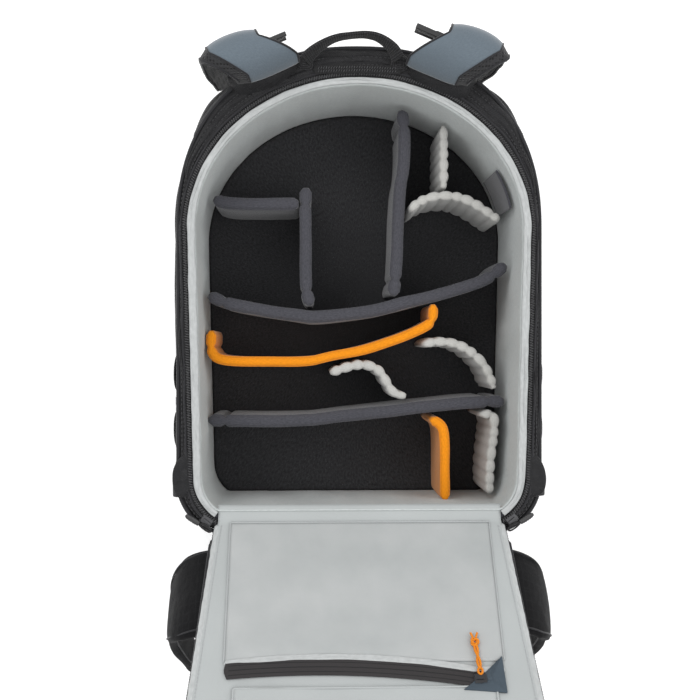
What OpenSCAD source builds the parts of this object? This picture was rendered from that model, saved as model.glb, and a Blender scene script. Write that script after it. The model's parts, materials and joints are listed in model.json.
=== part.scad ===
// Camera backpack lying on its front face, with its back flap folded open.
// X runs across the bag, Y from its bottom to its top, and Z up from the front face
// to the back. The origin is the centre of the front face that it lies on.

/* [Opening] */
// Half the width of the back opening at the foot of its arch
opening_half_w = 167; // [160:1:168]
// Half the width of the back opening above its lower corners
waist_half_w = 161; // [158:1:164]
// Rise of the arch above its foot
arch_h = 147; // [140:1:150]
// Y of the foot of the arch
arch_foot_y = 60; // [50:1:70]
// Radius of the opening's lower corners
corner_r = 44; // [40:1:46]

/* [Body] */
// Half the width of the outer shell
shell_half_w = 178; // [178:1:184]
// Y of the top edge of the shell
shell_top_y = 238; // [238:1:240]
// Y of the bottom edge of the shell
shell_low_y = -240; // [-242:1:-240]
// Height of the back edge of the shell above the front face
rim_z = 222; // [218:1:224]
// Depth of the laptop and front compartments together
floor_z = 58; // [56:1:60]
// Depth of the front accessory pocket
front_pocket_depth = 22; // [18:1:24]

/* [Dividers] */
// Height of the padded dividers above the floor
divider_h = 106; // [90:1:112]
// Thickness of the grey dividers
grey_th = 12; // [10:0.5:12]
// Thickness of the quilted dividers
quilt_th = 10; // [8:0.5:10]
// Thickness of the orange dividers
orange_th = 9.5; // [8:0.5:10]

/* [Flap] */
// Angle that the flap is folded open from closed
flap_open = 140; // [120:1:150]
// Half the width of the flap at its hinge
flap_foot_half_w = 142; // [136:1:144]
// Thickness of the foam board in the flap
flap_board_th = 10; // [8:0.5:12]
// Thickness of the two back pads
back_pad_th = 20; // [15:1:24]

/* [Harness] */
// Width of a shoulder strap along its root seam
strap_w = 65; // [60:1:66]
// Thickness of a shoulder strap
strap_th = 12; // [10:0.5:12]
// Angle of a strap's root seam to the bag's top edge
strap_splay = 23; // [18:1:24]
// Thickness of a hip belt wing
wing_th = 14; // [10:0.5:14]

/* [Hidden] */
black = [0.09, 0.09, 0.10];
dark_grey = [0.26, 0.26, 0.28];
light_grey = [0.72, 0.73, 0.74];
quilt_grey = [0.80, 0.79, 0.77];
strap_blue = [0.35, 0.39, 0.44];
orange = [0.95, 0.50, 0.08];
fabric_th = 3;
lining_th = 1.5;
board_th = 4;
corner_cx = waist_half_w - corner_r;
corner_cy = -186;
cavity_low_y = -218;
zip_end_y = -232;
zip_end_x = 141;
shell_corner_r = 50;
shell_power = 2.3;
shell_arch_h = shell_top_y - arch_foot_y;
binding_in = 4.5;
binding_out = 4;
cavity_in = 4;
foam_out = 6;
tape_w = 6;
yoke_z = rim_z + fabric_th;
binding_z = yoke_z + 4;
tape_th = 2;
slider_z = yoke_z + tape_th + 4;
hinge_y = -224;
hinge_z = rim_z + 5;
lining_z = binding_z + 0.4;
flap_board_z = lining_z + lining_th;
flap_cover_z = flap_board_z + flap_board_th;
flap_back_z = flap_cover_z + 2;
board_foot = 20;
pocket_half_w = 127.5;
pocket_th = 2.4;
pocket_zip_y = hinge_y + 168;
lower_zip_y = hinge_y + 375;
webbing_th = 2;
webbing_w = 25;
strap_root_x = 77.5;
strap_root_y = 214.5;
strap_root_z = rim_z + 18;
strap_inside = -27;
strap_shift = 27;
strap_crest = 35;
strap_middle = strap_inside + strap_shift + strap_w / 2;
yoke_x = -7.5;
main_pull_turn = 33;
handle_x = -8;
handle_y = 226;
handle_z = rim_z + 16;
handle_w = 18;
wing_x = 136;
wing_t = 24;
wing_low = 20;
wing_high = 118;

// ---- outlines ---------------------------------------------------------------

// Upper half of an outline: an ellipse at power 2, squarer above that
function arch(a, foot, b, power) = [for (t = [0 : 6 : 180])
    [a * sign(cos(t)) * pow(abs(cos(t)), 2 / power), foot + b * pow(sin(t), 2 / power)]];

// Lower half of an outline: two quarter circles, from left to right
function lower(half_w, cy, r) = concat(
    [for (t = [180 : 10 : 270]) [r - half_w + r * cos(t), cy + r * sin(t)]],
    [for (t = [270 : 10 : 360]) [half_w - r + r * cos(t), cy + r * sin(t)]]);

function opening(grow) = concat(
    arch(opening_half_w + grow, arch_foot_y, arch_h + grow, 2),
    lower(waist_half_w + grow, corner_cy, corner_r + grow));

function shell(grow) = concat(
    arch(shell_half_w + grow, arch_foot_y, shell_arch_h + grow, shell_power),
    lower(shell_half_w + grow, shell_low_y + shell_corner_r, shell_corner_r + grow));

function flap(grow) = concat(
    arch(opening_half_w + grow, arch_foot_y, arch_h + grow, 2),
    [[-flap_foot_half_w - grow, hinge_y], [flap_foot_half_w + grow, hinge_y]]);

function unit(v) = v / norm(v);
function reversed(list) = [for (i = [len(list) - 1 : -1 : 0]) list[i]];

// Direction along a path at one of its points
function along(path, i) = unit(
    path[min(i + 1, len(path) - 1)] - path[max(i - 1, 0)]);

function side(path, d) = [for (i = [0 : len(path) - 1])
    let (u = along(path, i)) path[i] + d * [-u[1], u[0]]];

// Chaikin's corner cutting, which keeps both ends
function smooth(path, rounds) = rounds == 0 ? path : smooth(concat(
    [path[0]],
    [for (i = [0 : len(path) - 2]) each
        [path[i] * 0.75 + path[i + 1] * 0.25, path[i] * 0.25 + path[i + 1] * 0.75]],
    [path[len(path) - 1]]), rounds - 1);

module band_2d(path, th, rounds = 2) {
    line = smooth(path, rounds);
    polygon(concat(side(line, th / 2), reversed(side(line, -th / 2))));
}

module above(y) {
    intersection() {
        children();
        translate([-400, y]) square([800, 800]);
    }
}

module below(y) {
    intersection() {
        children();
        translate([-400, y - 800]) square([800, 800]);
    }
}

// What lies along the zip, which ends beside the flap's hinge
module zipped() {
    difference() {
        above(zip_end_y) children();
        translate([-zip_end_x, zip_end_y - 1]) square([2 * zip_end_x, 16]);
    }
}

module block(low, high) {
    translate(low) cube(high - low);
}

module slab(z0, z1) {
    translate([0, 0, z0]) linear_extrude(z1 - z0) children();
}

module both_sides() {
    children();
    mirror([1, 0, 0]) children();
}

// ---- body -------------------------------------------------------------------

module outer_shell() {
    color(black) slab(floor_z, rim_z) difference() {
        polygon(shell(0));
        polygon(shell(-fabric_th));
    }
}

module base_boot() {
    color(black) slab(26, 205) below(-170) difference() {
        polygon(shell(4));
        polygon(shell(0));
    }
}

module top_panel() {
    color(black) slab(26, 205) above(150) difference() {
        polygon(shell(4));
        polygon(shell(0));
    }
}

module foam_wall() {
    color(dark_grey) slab(floor_z, rim_z) difference() {
        above(cavity_low_y - 16) polygon(opening(foam_out));
        above(cavity_low_y - lining_th) polygon(opening(lining_th - cavity_in));
    }
}

module wall_lining() {
    color(light_grey) {
        slab(floor_z, rim_z) difference() {
            above(cavity_low_y - lining_th) polygon(opening(lining_th - cavity_in));
            above(cavity_low_y) polygon(opening(-cavity_in));
        }
        block([-139, hinge_y - 2, rim_z], [139, cavity_low_y, rim_z + 1.2]);
    }
}

module floor_board() {
    color(dark_grey) slab(floor_z, floor_z + board_th)
        above(cavity_low_y) polygon(opening(-cavity_in));
}

module yoke_panel() {
    color(black) slab(rim_z, yoke_z) zipped() difference() {
        polygon(shell(0));
        polygon(opening(lining_th - cavity_in));
    }
}

module rim_binding() {
    color(light_grey) slab(yoke_z, binding_z) zipped() difference() {
        polygon(opening(binding_out));
        polygon(opening(-binding_in));
    }
}

module main_zip_tape() {
    color(black) slab(yoke_z, yoke_z + tape_th) zipped() difference() {
        polygon(opening(binding_out + tape_w));
        polygon(opening(binding_out));
    }
}

module main_zip_sliders() {
    color(black) both_sides() translate([corner_cx, corner_cy]) rotate(-51)
        block([corner_r + 6, -9, yoke_z + tape_th],
            [corner_r + 14, 6.5, slider_z]);
}

module top_zip() {
    color(black) block([-46, 211.5, yoke_z + tape_th], [41, 220, yoke_z + tape_th + 2.5]);
}

module front_shell() {
    color(black) difference() {
        slab(front_pocket_depth, floor_z) polygon(shell(-2));
        slab(front_pocket_depth + fabric_th, floor_z - fabric_th)
            polygon(shell(-2 - fabric_th));
    }
}

module laptop_sleeve() {
    color(dark_grey) block([-140, -205, 38], [140, 160, 41]);
}

module front_pocket() {
    color(black) difference() {
        slab(0, front_pocket_depth) polygon(shell(-26));
        slab(fabric_th, front_pocket_depth - fabric_th) polygon(shell(-26 - fabric_th));
    }
}

module front_zips() {
    color(black) {
        slab(44, 54) above(-120) difference() {
            polygon(shell(0));
            polygon(shell(-2));
        }
        slab(9, 18) above(-60) difference() {
            polygon(shell(-24));
            polygon(shell(-26));
        }
    }
}

module side_pockets() {
    color(black) both_sides() difference() {
        block([shell_half_w, -168, 66], [shell_half_w + 11, 0, 160]);
        block([shell_half_w - 1, -165, 69], [shell_half_w + 9, 1, 157]);
    }
}

module side_straps() {
    foot = shell_half_w + webbing_th / 2;
    color(black) both_sides() slab(180, 200) band_2d([[foot, -48], [foot, -58],
        [foot + 6, -72], [foot + 6, -96], [foot + 0.5, -104], [foot + 0.5, -118],
        [foot + 6, -126], [foot + 6, -152], [foot, -162], [foot, -167]], webbing_th);
}

module strap_keepers() {
    outside = shell_half_w + webbing_th + 1;
    color(black) both_sides()
        block([outside, -115, 177], [outside + 3, -107, 203]);
}

module anchor_tabs() {
    color(black) both_sides() {
        slab(yoke_z, yoke_z + 2.5)
            polygon([[172, -165], [184.5, -180], [184.5, -205], [172, -205]]);
        block([182.5, -205, 130], [184.5, -180, yoke_z + 2.5]);
    }
}

module anchor_buckles() {
    color(black) both_sides() difference() {
        block([182.5, -209, 88], [192.5, -176, 130]);
        block([185, -205, 84], [190, -180, 118]);
    }
}

// ---- back flap, drawn closed and then turned about its hinge ----------------

module folded_open() {
    translate([0, hinge_y, hinge_z]) rotate([flap_open, 0, 0])
        translate([0, -hinge_y, -hinge_z]) children();
}

module flap_board() {
    color(dark_grey) folded_open() slab(flap_board_z, flap_cover_z)
        above(hinge_y + board_foot) polygon(flap(1));
}

module flap_cover() {
    color(black) folded_open() slab(flap_cover_z, flap_back_z)
        above(hinge_y + board_foot) polygon(flap(3));
}

module flap_lining() {
    color(light_grey) folded_open() slab(lining_z, flap_board_z)
        above(hinge_y + 3) polygon(flap(-2));
}

module flap_zip_tape() {
    color(black) folded_open() slab(lining_z, flap_board_z)
        above(hinge_y + board_foot) difference() {
            polygon(flap(3));
            polygon(flap(-2));
        }
}

module pocket_window() {
    color(light_grey) folded_open() block(
        [-pocket_half_w, hinge_y + 6, lining_z - 1],
        [pocket_half_w, pocket_zip_y - 15, lining_z]);
}

module pocket_binding() {
    color(light_grey) folded_open() block(
        [-pocket_half_w, pocket_zip_y - 15, lining_z - pocket_th],
        [pocket_half_w, pocket_zip_y - 9, lining_z]);
}

module pocket_zip_tapes() {
    color(black) folded_open() {
        block([-pocket_half_w, pocket_zip_y - 9, lining_z - pocket_th],
            [98, pocket_zip_y + 9, lining_z]);
        block([-98, lower_zip_y - 9, lining_z - pocket_th],
            [98, lower_zip_y + 9, lining_z]);
    }
}

module lower_pocket() {
    color(light_grey) folded_open() block(
        [-104, pocket_zip_y + 9, lining_z - 1.5],
        [104, lower_zip_y - 9, lining_z]);
}

module corner_patch() {
    color(strap_blue) folded_open() slab(lining_z - 1.5, lining_z)
        polygon([[98.5, pocket_zip_y - 8.5], [pocket_half_w, pocket_zip_y - 8.5],
            [pocket_half_w, pocket_zip_y + 20], [111, pocket_zip_y + 20]]);
}

module back_pads() {
    color(black) folded_open() both_sides()
        slab(flap_back_z, flap_back_z + back_pad_th)
            polygon([[16, -40], [118, -40], [122, 60], [100, 118], [16, 124]]);
}

module lumbar_pad() {
    color(black) folded_open() slab(flap_back_z, flap_back_z + back_pad_th + 5)
        polygon([[-118, -188], [118, -188], [124, -120], [110, -62],
            [-110, -62], [-124, -120]]);
}

module pocket_slider() {
    color(black) folded_open() block(
        [99, pocket_zip_y - 6, lining_z - pocket_th - 3.3],
        [109, pocket_zip_y + 8, lining_z - pocket_th - 0.3]);
}

module pocket_pull() {
    z = lining_z - pocket_th - 3.5;
    color(orange) folded_open() block(
        [102, pocket_zip_y - 46, z - 2.6], [106, pocket_zip_y - 4, z]);
}

// ---- pulls, handle and harness ----------------------------------------------

// Pull of a main zip slider, lying outwards and upwards from the end of the zip
module main_pull() {
    translate([146, -238]) rotate(main_pull_turn) block([0, -2.5, slider_z + 0.3],
        [26, 2.5, slider_z + 2.9]);
}

module main_pull_left() {
    color(black) mirror([1, 0, 0]) main_pull();
}

module main_pull_right() {
    color(black) main_pull();
}

module handle() {
    color(black) translate([handle_x, handle_y, 0])
        slab(handle_z - handle_w / 2, handle_z + handle_w / 2)
            band_2d([[-47, -2], [-34, 10], [-17, 19.5], [0, 22.5], [14, 23.5],
                [27, 20.5], [40, 10], [46, -1]], 5, 3);
}

// Wing of the hip belt, bowed outwards and standing off the flap's back
module wing() {
    folded_open() intersection() {
        translate([0, hinge_y, hinge_z]) rotate([90, 0, 0])
            mirror([0, 0, 1]) linear_extrude(wing_high)
                band_2d([[wing_x, wing_t], [156, 28], [178, 46], [187, 85],
                    [189, 130], [183, 170], [175, 205]], wing_th);
        translate([0, hinge_y, hinge_z]) rotate([0, 90, 0])
            linear_extrude(300)
                polygon([[0, wing_low], [-130, wing_low + 6], [-230, wing_low + 16],
                    [-230, wing_high - 60], [-110, wing_high - 52], [-75, wing_high - 34],
                    [-40, wing_high - 10], [0, wing_high]]);
    }
}

module wing_hardware() {
    middle = hinge_y + 47;
    folded_open() {
        block([171, middle - 10, hinge_z + 209], [173, middle + 10, hinge_z + 226]);
        block([166, middle - 14, hinge_z + 226], [178, middle + 14, hinge_z + 246]);
    }
}

module hip_wing_left() {
    color(black) mirror([1, 0, 0]) wing();
}

module hip_wing_right() {
    color(black) wing();
}

module hip_buckle_left() {
    color(black) mirror([1, 0, 0]) wing_hardware();
}

module hip_buckle_right() {
    color(black) wing_hardware();
}

// Frame of a shoulder strap: X outwards along its root seam, Y over the top edge, Z up
module on_strap() {
    translate([strap_root_x, strap_root_y, strap_root_z])
        rotate([0, 0, -strap_splay]) children();
}

// Solid between two widths whose side view is a band of a given thickness
module ribbon(path, x0, x1, th) {
    rotate([90, 0, 90]) translate([0, 0, x0]) linear_extrude(x1 - x0)
        band_2d(path, th);
}

// Seen from above the strap runs outwards as it rises, and hangs straight behind its crest
module strap_pad() {
    low = strap_inside;
    high = strap_inside + strap_w;
    on_strap() intersection() {
        ribbon([[0, 0], [3, 14], [14, 26], [29, 29], [40, 20], [44, -6], [46, -90],
            [50, -150], [52, -196]], low - 1, high + strap_shift + 1, strap_th);
        slab(-240, 60) polygon([[low, -20], [high, -20], [high, 0],
            [high + strap_shift, strap_crest], [high + strap_shift, 90],
            [low + strap_shift, 90], [low + strap_shift, strap_crest], [low, 0]]);
    }
}

module strap_webbing() {
    on_strap() ribbon([[53, -207], [56, -222], [44, -233], [16, -233]],
        strap_middle - webbing_w / 2, strap_middle + webbing_w / 2, webbing_th);
}

module strap_buckle() {
    on_strap() translate([strap_middle, 52, -201.5]) block([-17, -5, -5], [17, 5, 5]);
}

module sternum_strap() {
    on_strap() translate([strap_middle, 47.9 + strap_th / 2, -118]) rotate([3.8, 0, 0]) {
        block([-30, 0.6, -10], [-4, 2.6, 10]);
        block([-66, 0.6, -13], [-30, 8.6, 13]);
    }
}

module about_yoke() {
    translate([yoke_x, 0, 0]) children();
}

module strap_pad_left() {
    color(strap_blue) about_yoke() mirror([1, 0, 0]) strap_pad();
}

module strap_pad_right() {
    color(strap_blue) about_yoke() strap_pad();
}

module strap_webbing_left() {
    color(black) about_yoke() mirror([1, 0, 0]) strap_webbing();
}

module strap_webbing_right() {
    color(black) about_yoke() strap_webbing();
}

module strap_buckle_left() {
    color(black) about_yoke() mirror([1, 0, 0]) strap_buckle();
}

module strap_buckle_right() {
    color(black) about_yoke() strap_buckle();
}

module sternum_strap_left() {
    color(black) about_yoke() mirror([1, 0, 0]) sternum_strap();
}

module sternum_strap_right() {
    color(black) about_yoke() sternum_strap();
}

// ---- padded dividers, each a standing strip seen from above -----------------

module divider(path, th) {
    slab(floor_z + board_th + 0.3, floor_z + board_th + divider_h)
        band_2d(path, th);
}

module divider_lens_shelf() {
    color(dark_grey) divider([[-149, 97], [-138, 92], [-110, 91], [-61, 92]],
        grey_th);
}

module divider_camera_left() {
    color(dark_grey) divider([[-54, 108], [-54, 8], [-53, -2], [-49, -14]],
        grey_th);
}

module divider_camera_right() {
    color(dark_grey) divider([[45, 189], [49, 180], [49, 130], [43, 106],
        [41, 20], [36, -3]], grey_th);
}

module divider_cross_upper() {
    color(dark_grey) divider([[-154, -3], [-134, -13], [-62, -24], [-44, -27],
        [14, -20], [38, -14], [122, 8], [142, 18], [154, 30]], grey_th);
}

module divider_charger_wall() {
    color(quilt_grey) divider([[90, 174], [90, 109]], quilt_th);
}

module divider_lens_arc() {
    color(quilt_grey) divider([[55, 84], [60, 92], [78, 100], [101, 101],
        [116, 96], [132, 87], [148, 75]], quilt_th);
}

module divider_orange_cross() {
    color(orange) divider([[-151, -40], [-152, -66], [-134, -72], [-50, -72],
        [-34, -68], [2, -61], [40, -49], [72, -36], [79, -28], [79, -13]],
        orange_th);
}

module divider_pad_centre() {
    color(quilt_grey) divider([[-28, -84], [-12, -78], [6, -74], [22, -80],
        [30, -92], [38, -106], [50, -108]], quilt_th);
}

module divider_pad_right() {
    color(quilt_grey) divider([[68, -54], [80, -51], [100, -52], [116, -60],
        [132, -74], [139, -88], [143, -100]], quilt_th);
}

module divider_cross_lower() {
    color(dark_grey) divider([[-154, -133], [-55, -134], [-28, -130], [63, -120],
        [124, -114], [153, -114]], grey_th);
}

module divider_orange_upright() {
    color(orange) divider([[76, -131], [88, -138], [91, -152], [91, -216]],
        orange_th);
}

module divider_battery_wall() {
    color(quilt_grey) divider([[128, -127], [142, -127], [143, -142], [138, -184],
        [138, -210]], quilt_th);
}

outer_shell();
base_boot();
top_panel();
foam_wall();
wall_lining();
floor_board();
yoke_panel();
rim_binding();
main_zip_tape();
main_zip_sliders();
top_zip();
front_shell();
laptop_sleeve();
front_pocket();
front_zips();
side_pockets();
side_straps();
strap_keepers();
anchor_tabs();
anchor_buckles();
flap_board();
flap_cover();
flap_lining();
flap_zip_tape();
pocket_window();
pocket_binding();
pocket_zip_tapes();
lower_pocket();
corner_patch();
back_pads();
lumbar_pad();
pocket_slider();
pocket_pull();
main_pull_left();
main_pull_right();
handle();
hip_wing_left();
hip_wing_right();
hip_buckle_left();
hip_buckle_right();
strap_pad_left();
strap_pad_right();
strap_webbing_left();
strap_webbing_right();
strap_buckle_left();
strap_buckle_right();
sternum_strap_left();
sternum_strap_right();
divider_lens_shelf();
divider_camera_left();
divider_camera_right();
divider_cross_upper();
divider_charger_wall();
divider_lens_arc();
divider_orange_cross();
divider_pad_centre();
divider_pad_right();
divider_cross_lower();
divider_orange_upright();
divider_battery_wall();
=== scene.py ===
"""Looks of a camera backpack that lies on its front with its back flap open. Lengths are metres."""

import json
import math

import bmesh
import bpy
import numpy as np
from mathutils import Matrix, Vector, noise


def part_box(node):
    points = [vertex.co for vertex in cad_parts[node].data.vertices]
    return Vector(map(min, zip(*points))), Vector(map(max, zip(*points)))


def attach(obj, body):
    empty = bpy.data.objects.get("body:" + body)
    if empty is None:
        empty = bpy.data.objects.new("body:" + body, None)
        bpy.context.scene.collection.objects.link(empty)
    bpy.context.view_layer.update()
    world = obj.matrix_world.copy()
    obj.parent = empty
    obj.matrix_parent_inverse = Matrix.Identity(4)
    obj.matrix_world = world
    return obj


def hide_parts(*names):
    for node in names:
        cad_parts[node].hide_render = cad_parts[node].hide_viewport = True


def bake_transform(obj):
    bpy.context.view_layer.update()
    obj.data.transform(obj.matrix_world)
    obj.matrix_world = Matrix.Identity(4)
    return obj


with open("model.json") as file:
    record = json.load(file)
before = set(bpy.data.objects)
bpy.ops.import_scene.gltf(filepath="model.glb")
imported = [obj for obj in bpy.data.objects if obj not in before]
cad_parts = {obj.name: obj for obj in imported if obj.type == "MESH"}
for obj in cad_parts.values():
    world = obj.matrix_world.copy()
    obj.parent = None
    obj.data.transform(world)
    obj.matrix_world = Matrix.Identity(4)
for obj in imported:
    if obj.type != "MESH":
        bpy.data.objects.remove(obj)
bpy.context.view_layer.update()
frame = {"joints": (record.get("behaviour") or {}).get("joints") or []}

# ---- places and sizes, from the frame ---------------------------------------------------

MM = 0.001
SIDES = (("left", -1), ("right", 1))


def box(node):
    low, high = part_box(node)
    return np.array(low), np.array(high)


def joint(name):
    return next(j for j in frame["joints"] if j["name"] == name)


SHELL_LOW, SHELL_HIGH = box("outer_shell")
RIM_LOW, RIM_HIGH = box("rim_binding")
BOARD_LOW, BOARD_HIGH = box("floor_board")
HALF_W = SHELL_HIGH[0]
RIM_Z = SHELL_HIGH[2]
YOKE_Z = RIM_LOW[2]
FLOOR_Z = BOARD_HIGH[2]
CAVITY_LOW = BOARD_LOW[1]
LAPTOP_Z = SHELL_LOW[2]
POCKET_Z = box("front_pocket")[1][2]
HINGE = np.array(joint("flap_hinge")["pos_m"])

ARCH_FOOT = 60 * MM
BINDING_HALF = 4 * MM
OPEN_HALF_W = RIM_HIGH[0] - BINDING_HALF
OPEN_RISE = RIM_HIGH[1] - BINDING_HALF - ARCH_FOOT
WAIST_HALF_W = 161 * MM
OPEN_CORNER_R = 44 * MM
OPEN_CORNER_Y = -186 * MM
SHELL_CORNER_R = 50 * MM
FLAP_FOOT_HALF_W = 142 * MM
HINGE_HALF_W = 139 * MM
SHELL_POWER = 2.3
AROUND = 360
FINE = 900
SIDE_AROUND = 720

# ---- mesh helpers -----------------------------------------------------------------------


def resample(points, count, closed=False):
    """Points at even distances along a line."""
    line = np.asarray(points, float)
    if closed:
        line = np.vstack([line, line[:1]])
    length = lengths(line)
    at = np.linspace(0, length[-1], count + closed)[:count]
    return np.stack([np.interp(at, length, column) for column in line.T], axis=1)


def rounded(points, rounds):
    """Chaikin's corner cutting, which keeps both ends."""
    line = np.asarray(points, float)
    for _ in range(rounds):
        a, b = line[:-1], line[1:]
        cut = np.stack([0.75 * a + 0.25 * b, 0.25 * a + 0.75 * b], axis=1)
        line = np.vstack([line[:1], cut.reshape(-1, line.shape[1]), line[-1:]])
    return line


def curve(points, count, rounds=3):
    """Points at even distances along a route whose corners are cut round."""
    return resample(rounded(points, rounds), count)


def lozenge(width, height, power, count):
    """Superellipse section: round at power 2, boxier above."""
    t = np.arange(count) * 2 * math.pi / count
    x = np.sign(np.cos(t)) * abs(np.cos(t)) ** (2 / power)
    y = np.sign(np.sin(t)) * abs(np.sin(t)) ** (2 / power)
    return np.stack([x * width / 2, y * height / 2], axis=1)


def shaped(section, sizes):
    """One section for each point of a path, with its size there as a share."""
    return section[None] * sizes[:, None, None]


def lengths(line):
    """Distance along a line to each of its points."""
    return np.concatenate([[0], np.cumsum(np.linalg.norm(np.diff(line, axis=0), axis=1))])


def tangents(line, closed=False):
    if closed:
        ahead = np.roll(line, -1, axis=0) - np.roll(line, 1, axis=0)
    else:
        ahead = np.gradient(line, axis=0)
    return ahead / np.linalg.norm(ahead, axis=1, keepdims=True)


def left_of(line):
    """Unit normals of a flat line, pointing to its left."""
    ahead = tangents(line)
    return np.column_stack([-ahead[:, 1], ahead[:, 0]])


def sweep(path, section, up=(0, 0, 1), closed=False, taper=0.0):
    """Rings of a section along a path. taper rounds both ends off over that distance."""
    line = np.asarray(path, float)
    ahead = tangents(line, closed)
    up = np.broadcast_to(np.asarray(up, float), line.shape)
    side = np.cross(ahead, up)
    side /= np.linalg.norm(side, axis=1, keepdims=True)
    over = np.cross(side, ahead)
    shape = np.broadcast_to(section, (len(line),) + np.shape(section)[-2:]).copy()
    if taper:
        at = lengths(line)
        near = np.clip(np.minimum(at, at[-1] - at) / taper, 0.02, 1)
        shape *= np.sqrt(1 - (1 - near) ** 2)[:, None, None]
    return line[:, None] + side[:, None] * shape[..., :1] + over[:, None] * shape[..., 1:]


def xyz(x, y, z):
    """Points from three coordinates, any of which may be one number for all of them."""
    return np.stack(np.broadcast_arrays(x, y, z), axis=-1).astype(float)


def noise_at(points, scale, seed):
    """Smooth noise from about -1 to 1 at each point."""
    flat = np.reshape(points, (-1, 3)) * scale + seed * 7.31
    values = [noise.noise(Vector(p)) for p in flat]
    return np.reshape(values, np.shape(points)[:-1])


def crumple(points, size, scale, seed):
    """Moves points a little by smooth noise, as slack fabric lies."""
    moved = [noise_at(points, scale, seed + k) for k in range(3)]
    return points + np.stack(moved, axis=-1) * size


def make_object(name, mesh, material):
    obj = bpy.data.objects.new(name, mesh)
    bpy.context.scene.collection.objects.link(obj)
    if material:
        mesh.materials.append(material)
    for polygon in mesh.polygons:
        polygon.use_smooth = True
    return obj


def mean_lengths(rings, axis):
    """Distance along one axis of a grid of points, the mean of all its rows."""
    steps = np.linalg.norm(np.diff(rings, axis=axis), axis=2).mean(axis=1 - axis)
    return np.concatenate([[0], np.cumsum(steps)])


def loft(name, rings, material, around=True, along=False):
    """Mesh through rings[row][column], with its UVs in metres along the surface."""
    rings = np.asarray(rings, float)
    rows, columns = rings.shape[:2]
    i, j = np.meshgrid(np.arange(rows - (not along)), np.arange(columns - (not around)),
                       indexing="ij")
    i, j = i.ravel(), j.ravel()
    i2, j2 = (i + 1) % rows, (j + 1) % columns
    quads = np.stack([i * columns + j, i * columns + j2, i2 * columns + j2, i2 * columns + j],
                     axis=1)
    faces = quads.tolist()
    capped = around and not along
    if capped:
        faces.append(list(range(columns))[::-1])
        faces.append([(rows - 1) * columns + k for k in range(columns)])
    mesh = bpy.data.meshes.new(name)
    mesh.from_pydata(rings.reshape(-1, 3).tolist(), [], faces)
    v = mean_lengths(np.concatenate([rings, rings[:1]]) if along else rings, 0)
    u = mean_lengths(np.concatenate([rings, rings[:, :1]], axis=1) if around else rings, 1)
    uv = np.stack([np.stack([u[j], v[i]], 1), np.stack([u[j + 1], v[i]], 1),
                   np.stack([u[j + 1], v[i + 1]], 1), np.stack([u[j], v[i + 1]], 1)], axis=1)
    layer = mesh.uv_layers.new(name="UVMap")
    corners = uv.reshape(-1, 2)
    if capped:
        ends = rings[[0, -1]][:, :, :2].reshape(-1, 2)
        corners = np.vstack([corners, ends])
    layer.data.foreach_set("uv", corners.ravel().astype(np.float32))
    turned = bmesh.new()
    turned.from_mesh(mesh)
    bmesh.ops.recalc_face_normals(turned, faces=turned.faces)
    turned.to_mesh(mesh)
    turned.free()
    return make_object(name, mesh, material)


def joined(name, parts):
    """One object from several, which takes the first one's materials."""
    mesh = bpy.data.meshes.new(name)
    whole = bmesh.new()
    for part in parts:
        whole.from_mesh(part.data)
    whole.to_mesh(mesh)
    whole.free()
    result = make_object(name, mesh, None)
    for material in parts[0].data.materials:
        mesh.materials.append(material)
    for part in parts:
        bpy.data.objects.remove(part)
    return result


def applied(obj):
    """Replaces an object's mesh by what its modifiers make of it."""
    graph = bpy.context.evaluated_depsgraph_get()
    mesh = bpy.data.meshes.new_from_object(obj.evaluated_get(graph))
    obj.modifiers.clear()
    obj.data = mesh
    return obj


def vertices(obj):
    return np.array([v.co for v in obj.data.vertices])


def move_vertices(obj, points):
    obj.data.vertices.foreach_set("co", points.astype(np.float32).ravel())
    obj.data.update()


def place(obj, body, slot, *nodes):
    """Rides obj on a body and hides the CAD nodes that it stands for. slot, its finish, is not
    used.
    """
    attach(obj, body)
    if nodes:
        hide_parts(*nodes)
    return obj


def once(node, sign):
    """A node that stands for both sides, named by the left one only."""
    return [node] if sign < 0 else []


def tube(name, path, radius, material, closed=False, sides=8, taper=0.0):
    rings = sweep(path, lozenge(2 * radius, 2 * radius, 2, sides), closed=closed, taper=taper)
    return loft(name, rings, material, along=closed)


def swept(name, path, section, material, up=(0, 0, 1), taper=0.0):
    return loft(name, sweep(path, section, up, taper=taper), material)


def bars(name, boxes, material, bevel, turn):
    """Moulded part from overlapping blocks, given in millimetres, with softened edges.
    turn maps its points."""
    mesh = bpy.data.meshes.new(name)
    work = bmesh.new()
    for low, high in boxes:
        low, high = np.array(low) * MM, np.array(high) * MM
        made = bmesh.ops.create_cube(work, size=1.0)
        for vert in made["verts"]:
            vert.co = Vector((low + high) / 2 + np.array(vert.co) * (high - low))
        edges = list({e for vert in made["verts"] for e in vert.link_edges})
        bmesh.ops.bevel(work, geom=edges, offset=bevel, segments=3, profile=0.6,
                        affect="EDGES")
    for vert in work.verts:
        vert.co = Vector(turn(np.array(vert.co)))
    bmesh.ops.recalc_face_normals(work, faces=work.faces)
    work.to_mesh(mesh)
    work.free()
    return make_object(name, mesh, material)

# ---- outlines ---------------------------------------------------------------------------


def outline(arch_half_w, rise, power, low_half_w, corner_y, corner_r, count):
    """Closed outline from the bottom centre, anticlockwise, at even distances."""
    t = np.linspace(0, math.pi, 181)
    arch = np.stack([arch_half_w * np.sign(np.cos(t)) * abs(np.cos(t)) ** (2 / power),
                     ARCH_FOOT + rise * np.sin(t) ** (2 / power)], axis=1)
    q = np.linspace(-math.pi / 2, 0, 24)
    right = np.stack([low_half_w - corner_r + corner_r * np.cos(q),
                      corner_y + corner_r * np.sin(q)], axis=1)
    left = right[::-1] * (-1, 1)
    centre = [[0, corner_y - corner_r]]
    return resample(np.vstack([centre, right, arch, left]), count, closed=True)


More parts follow.
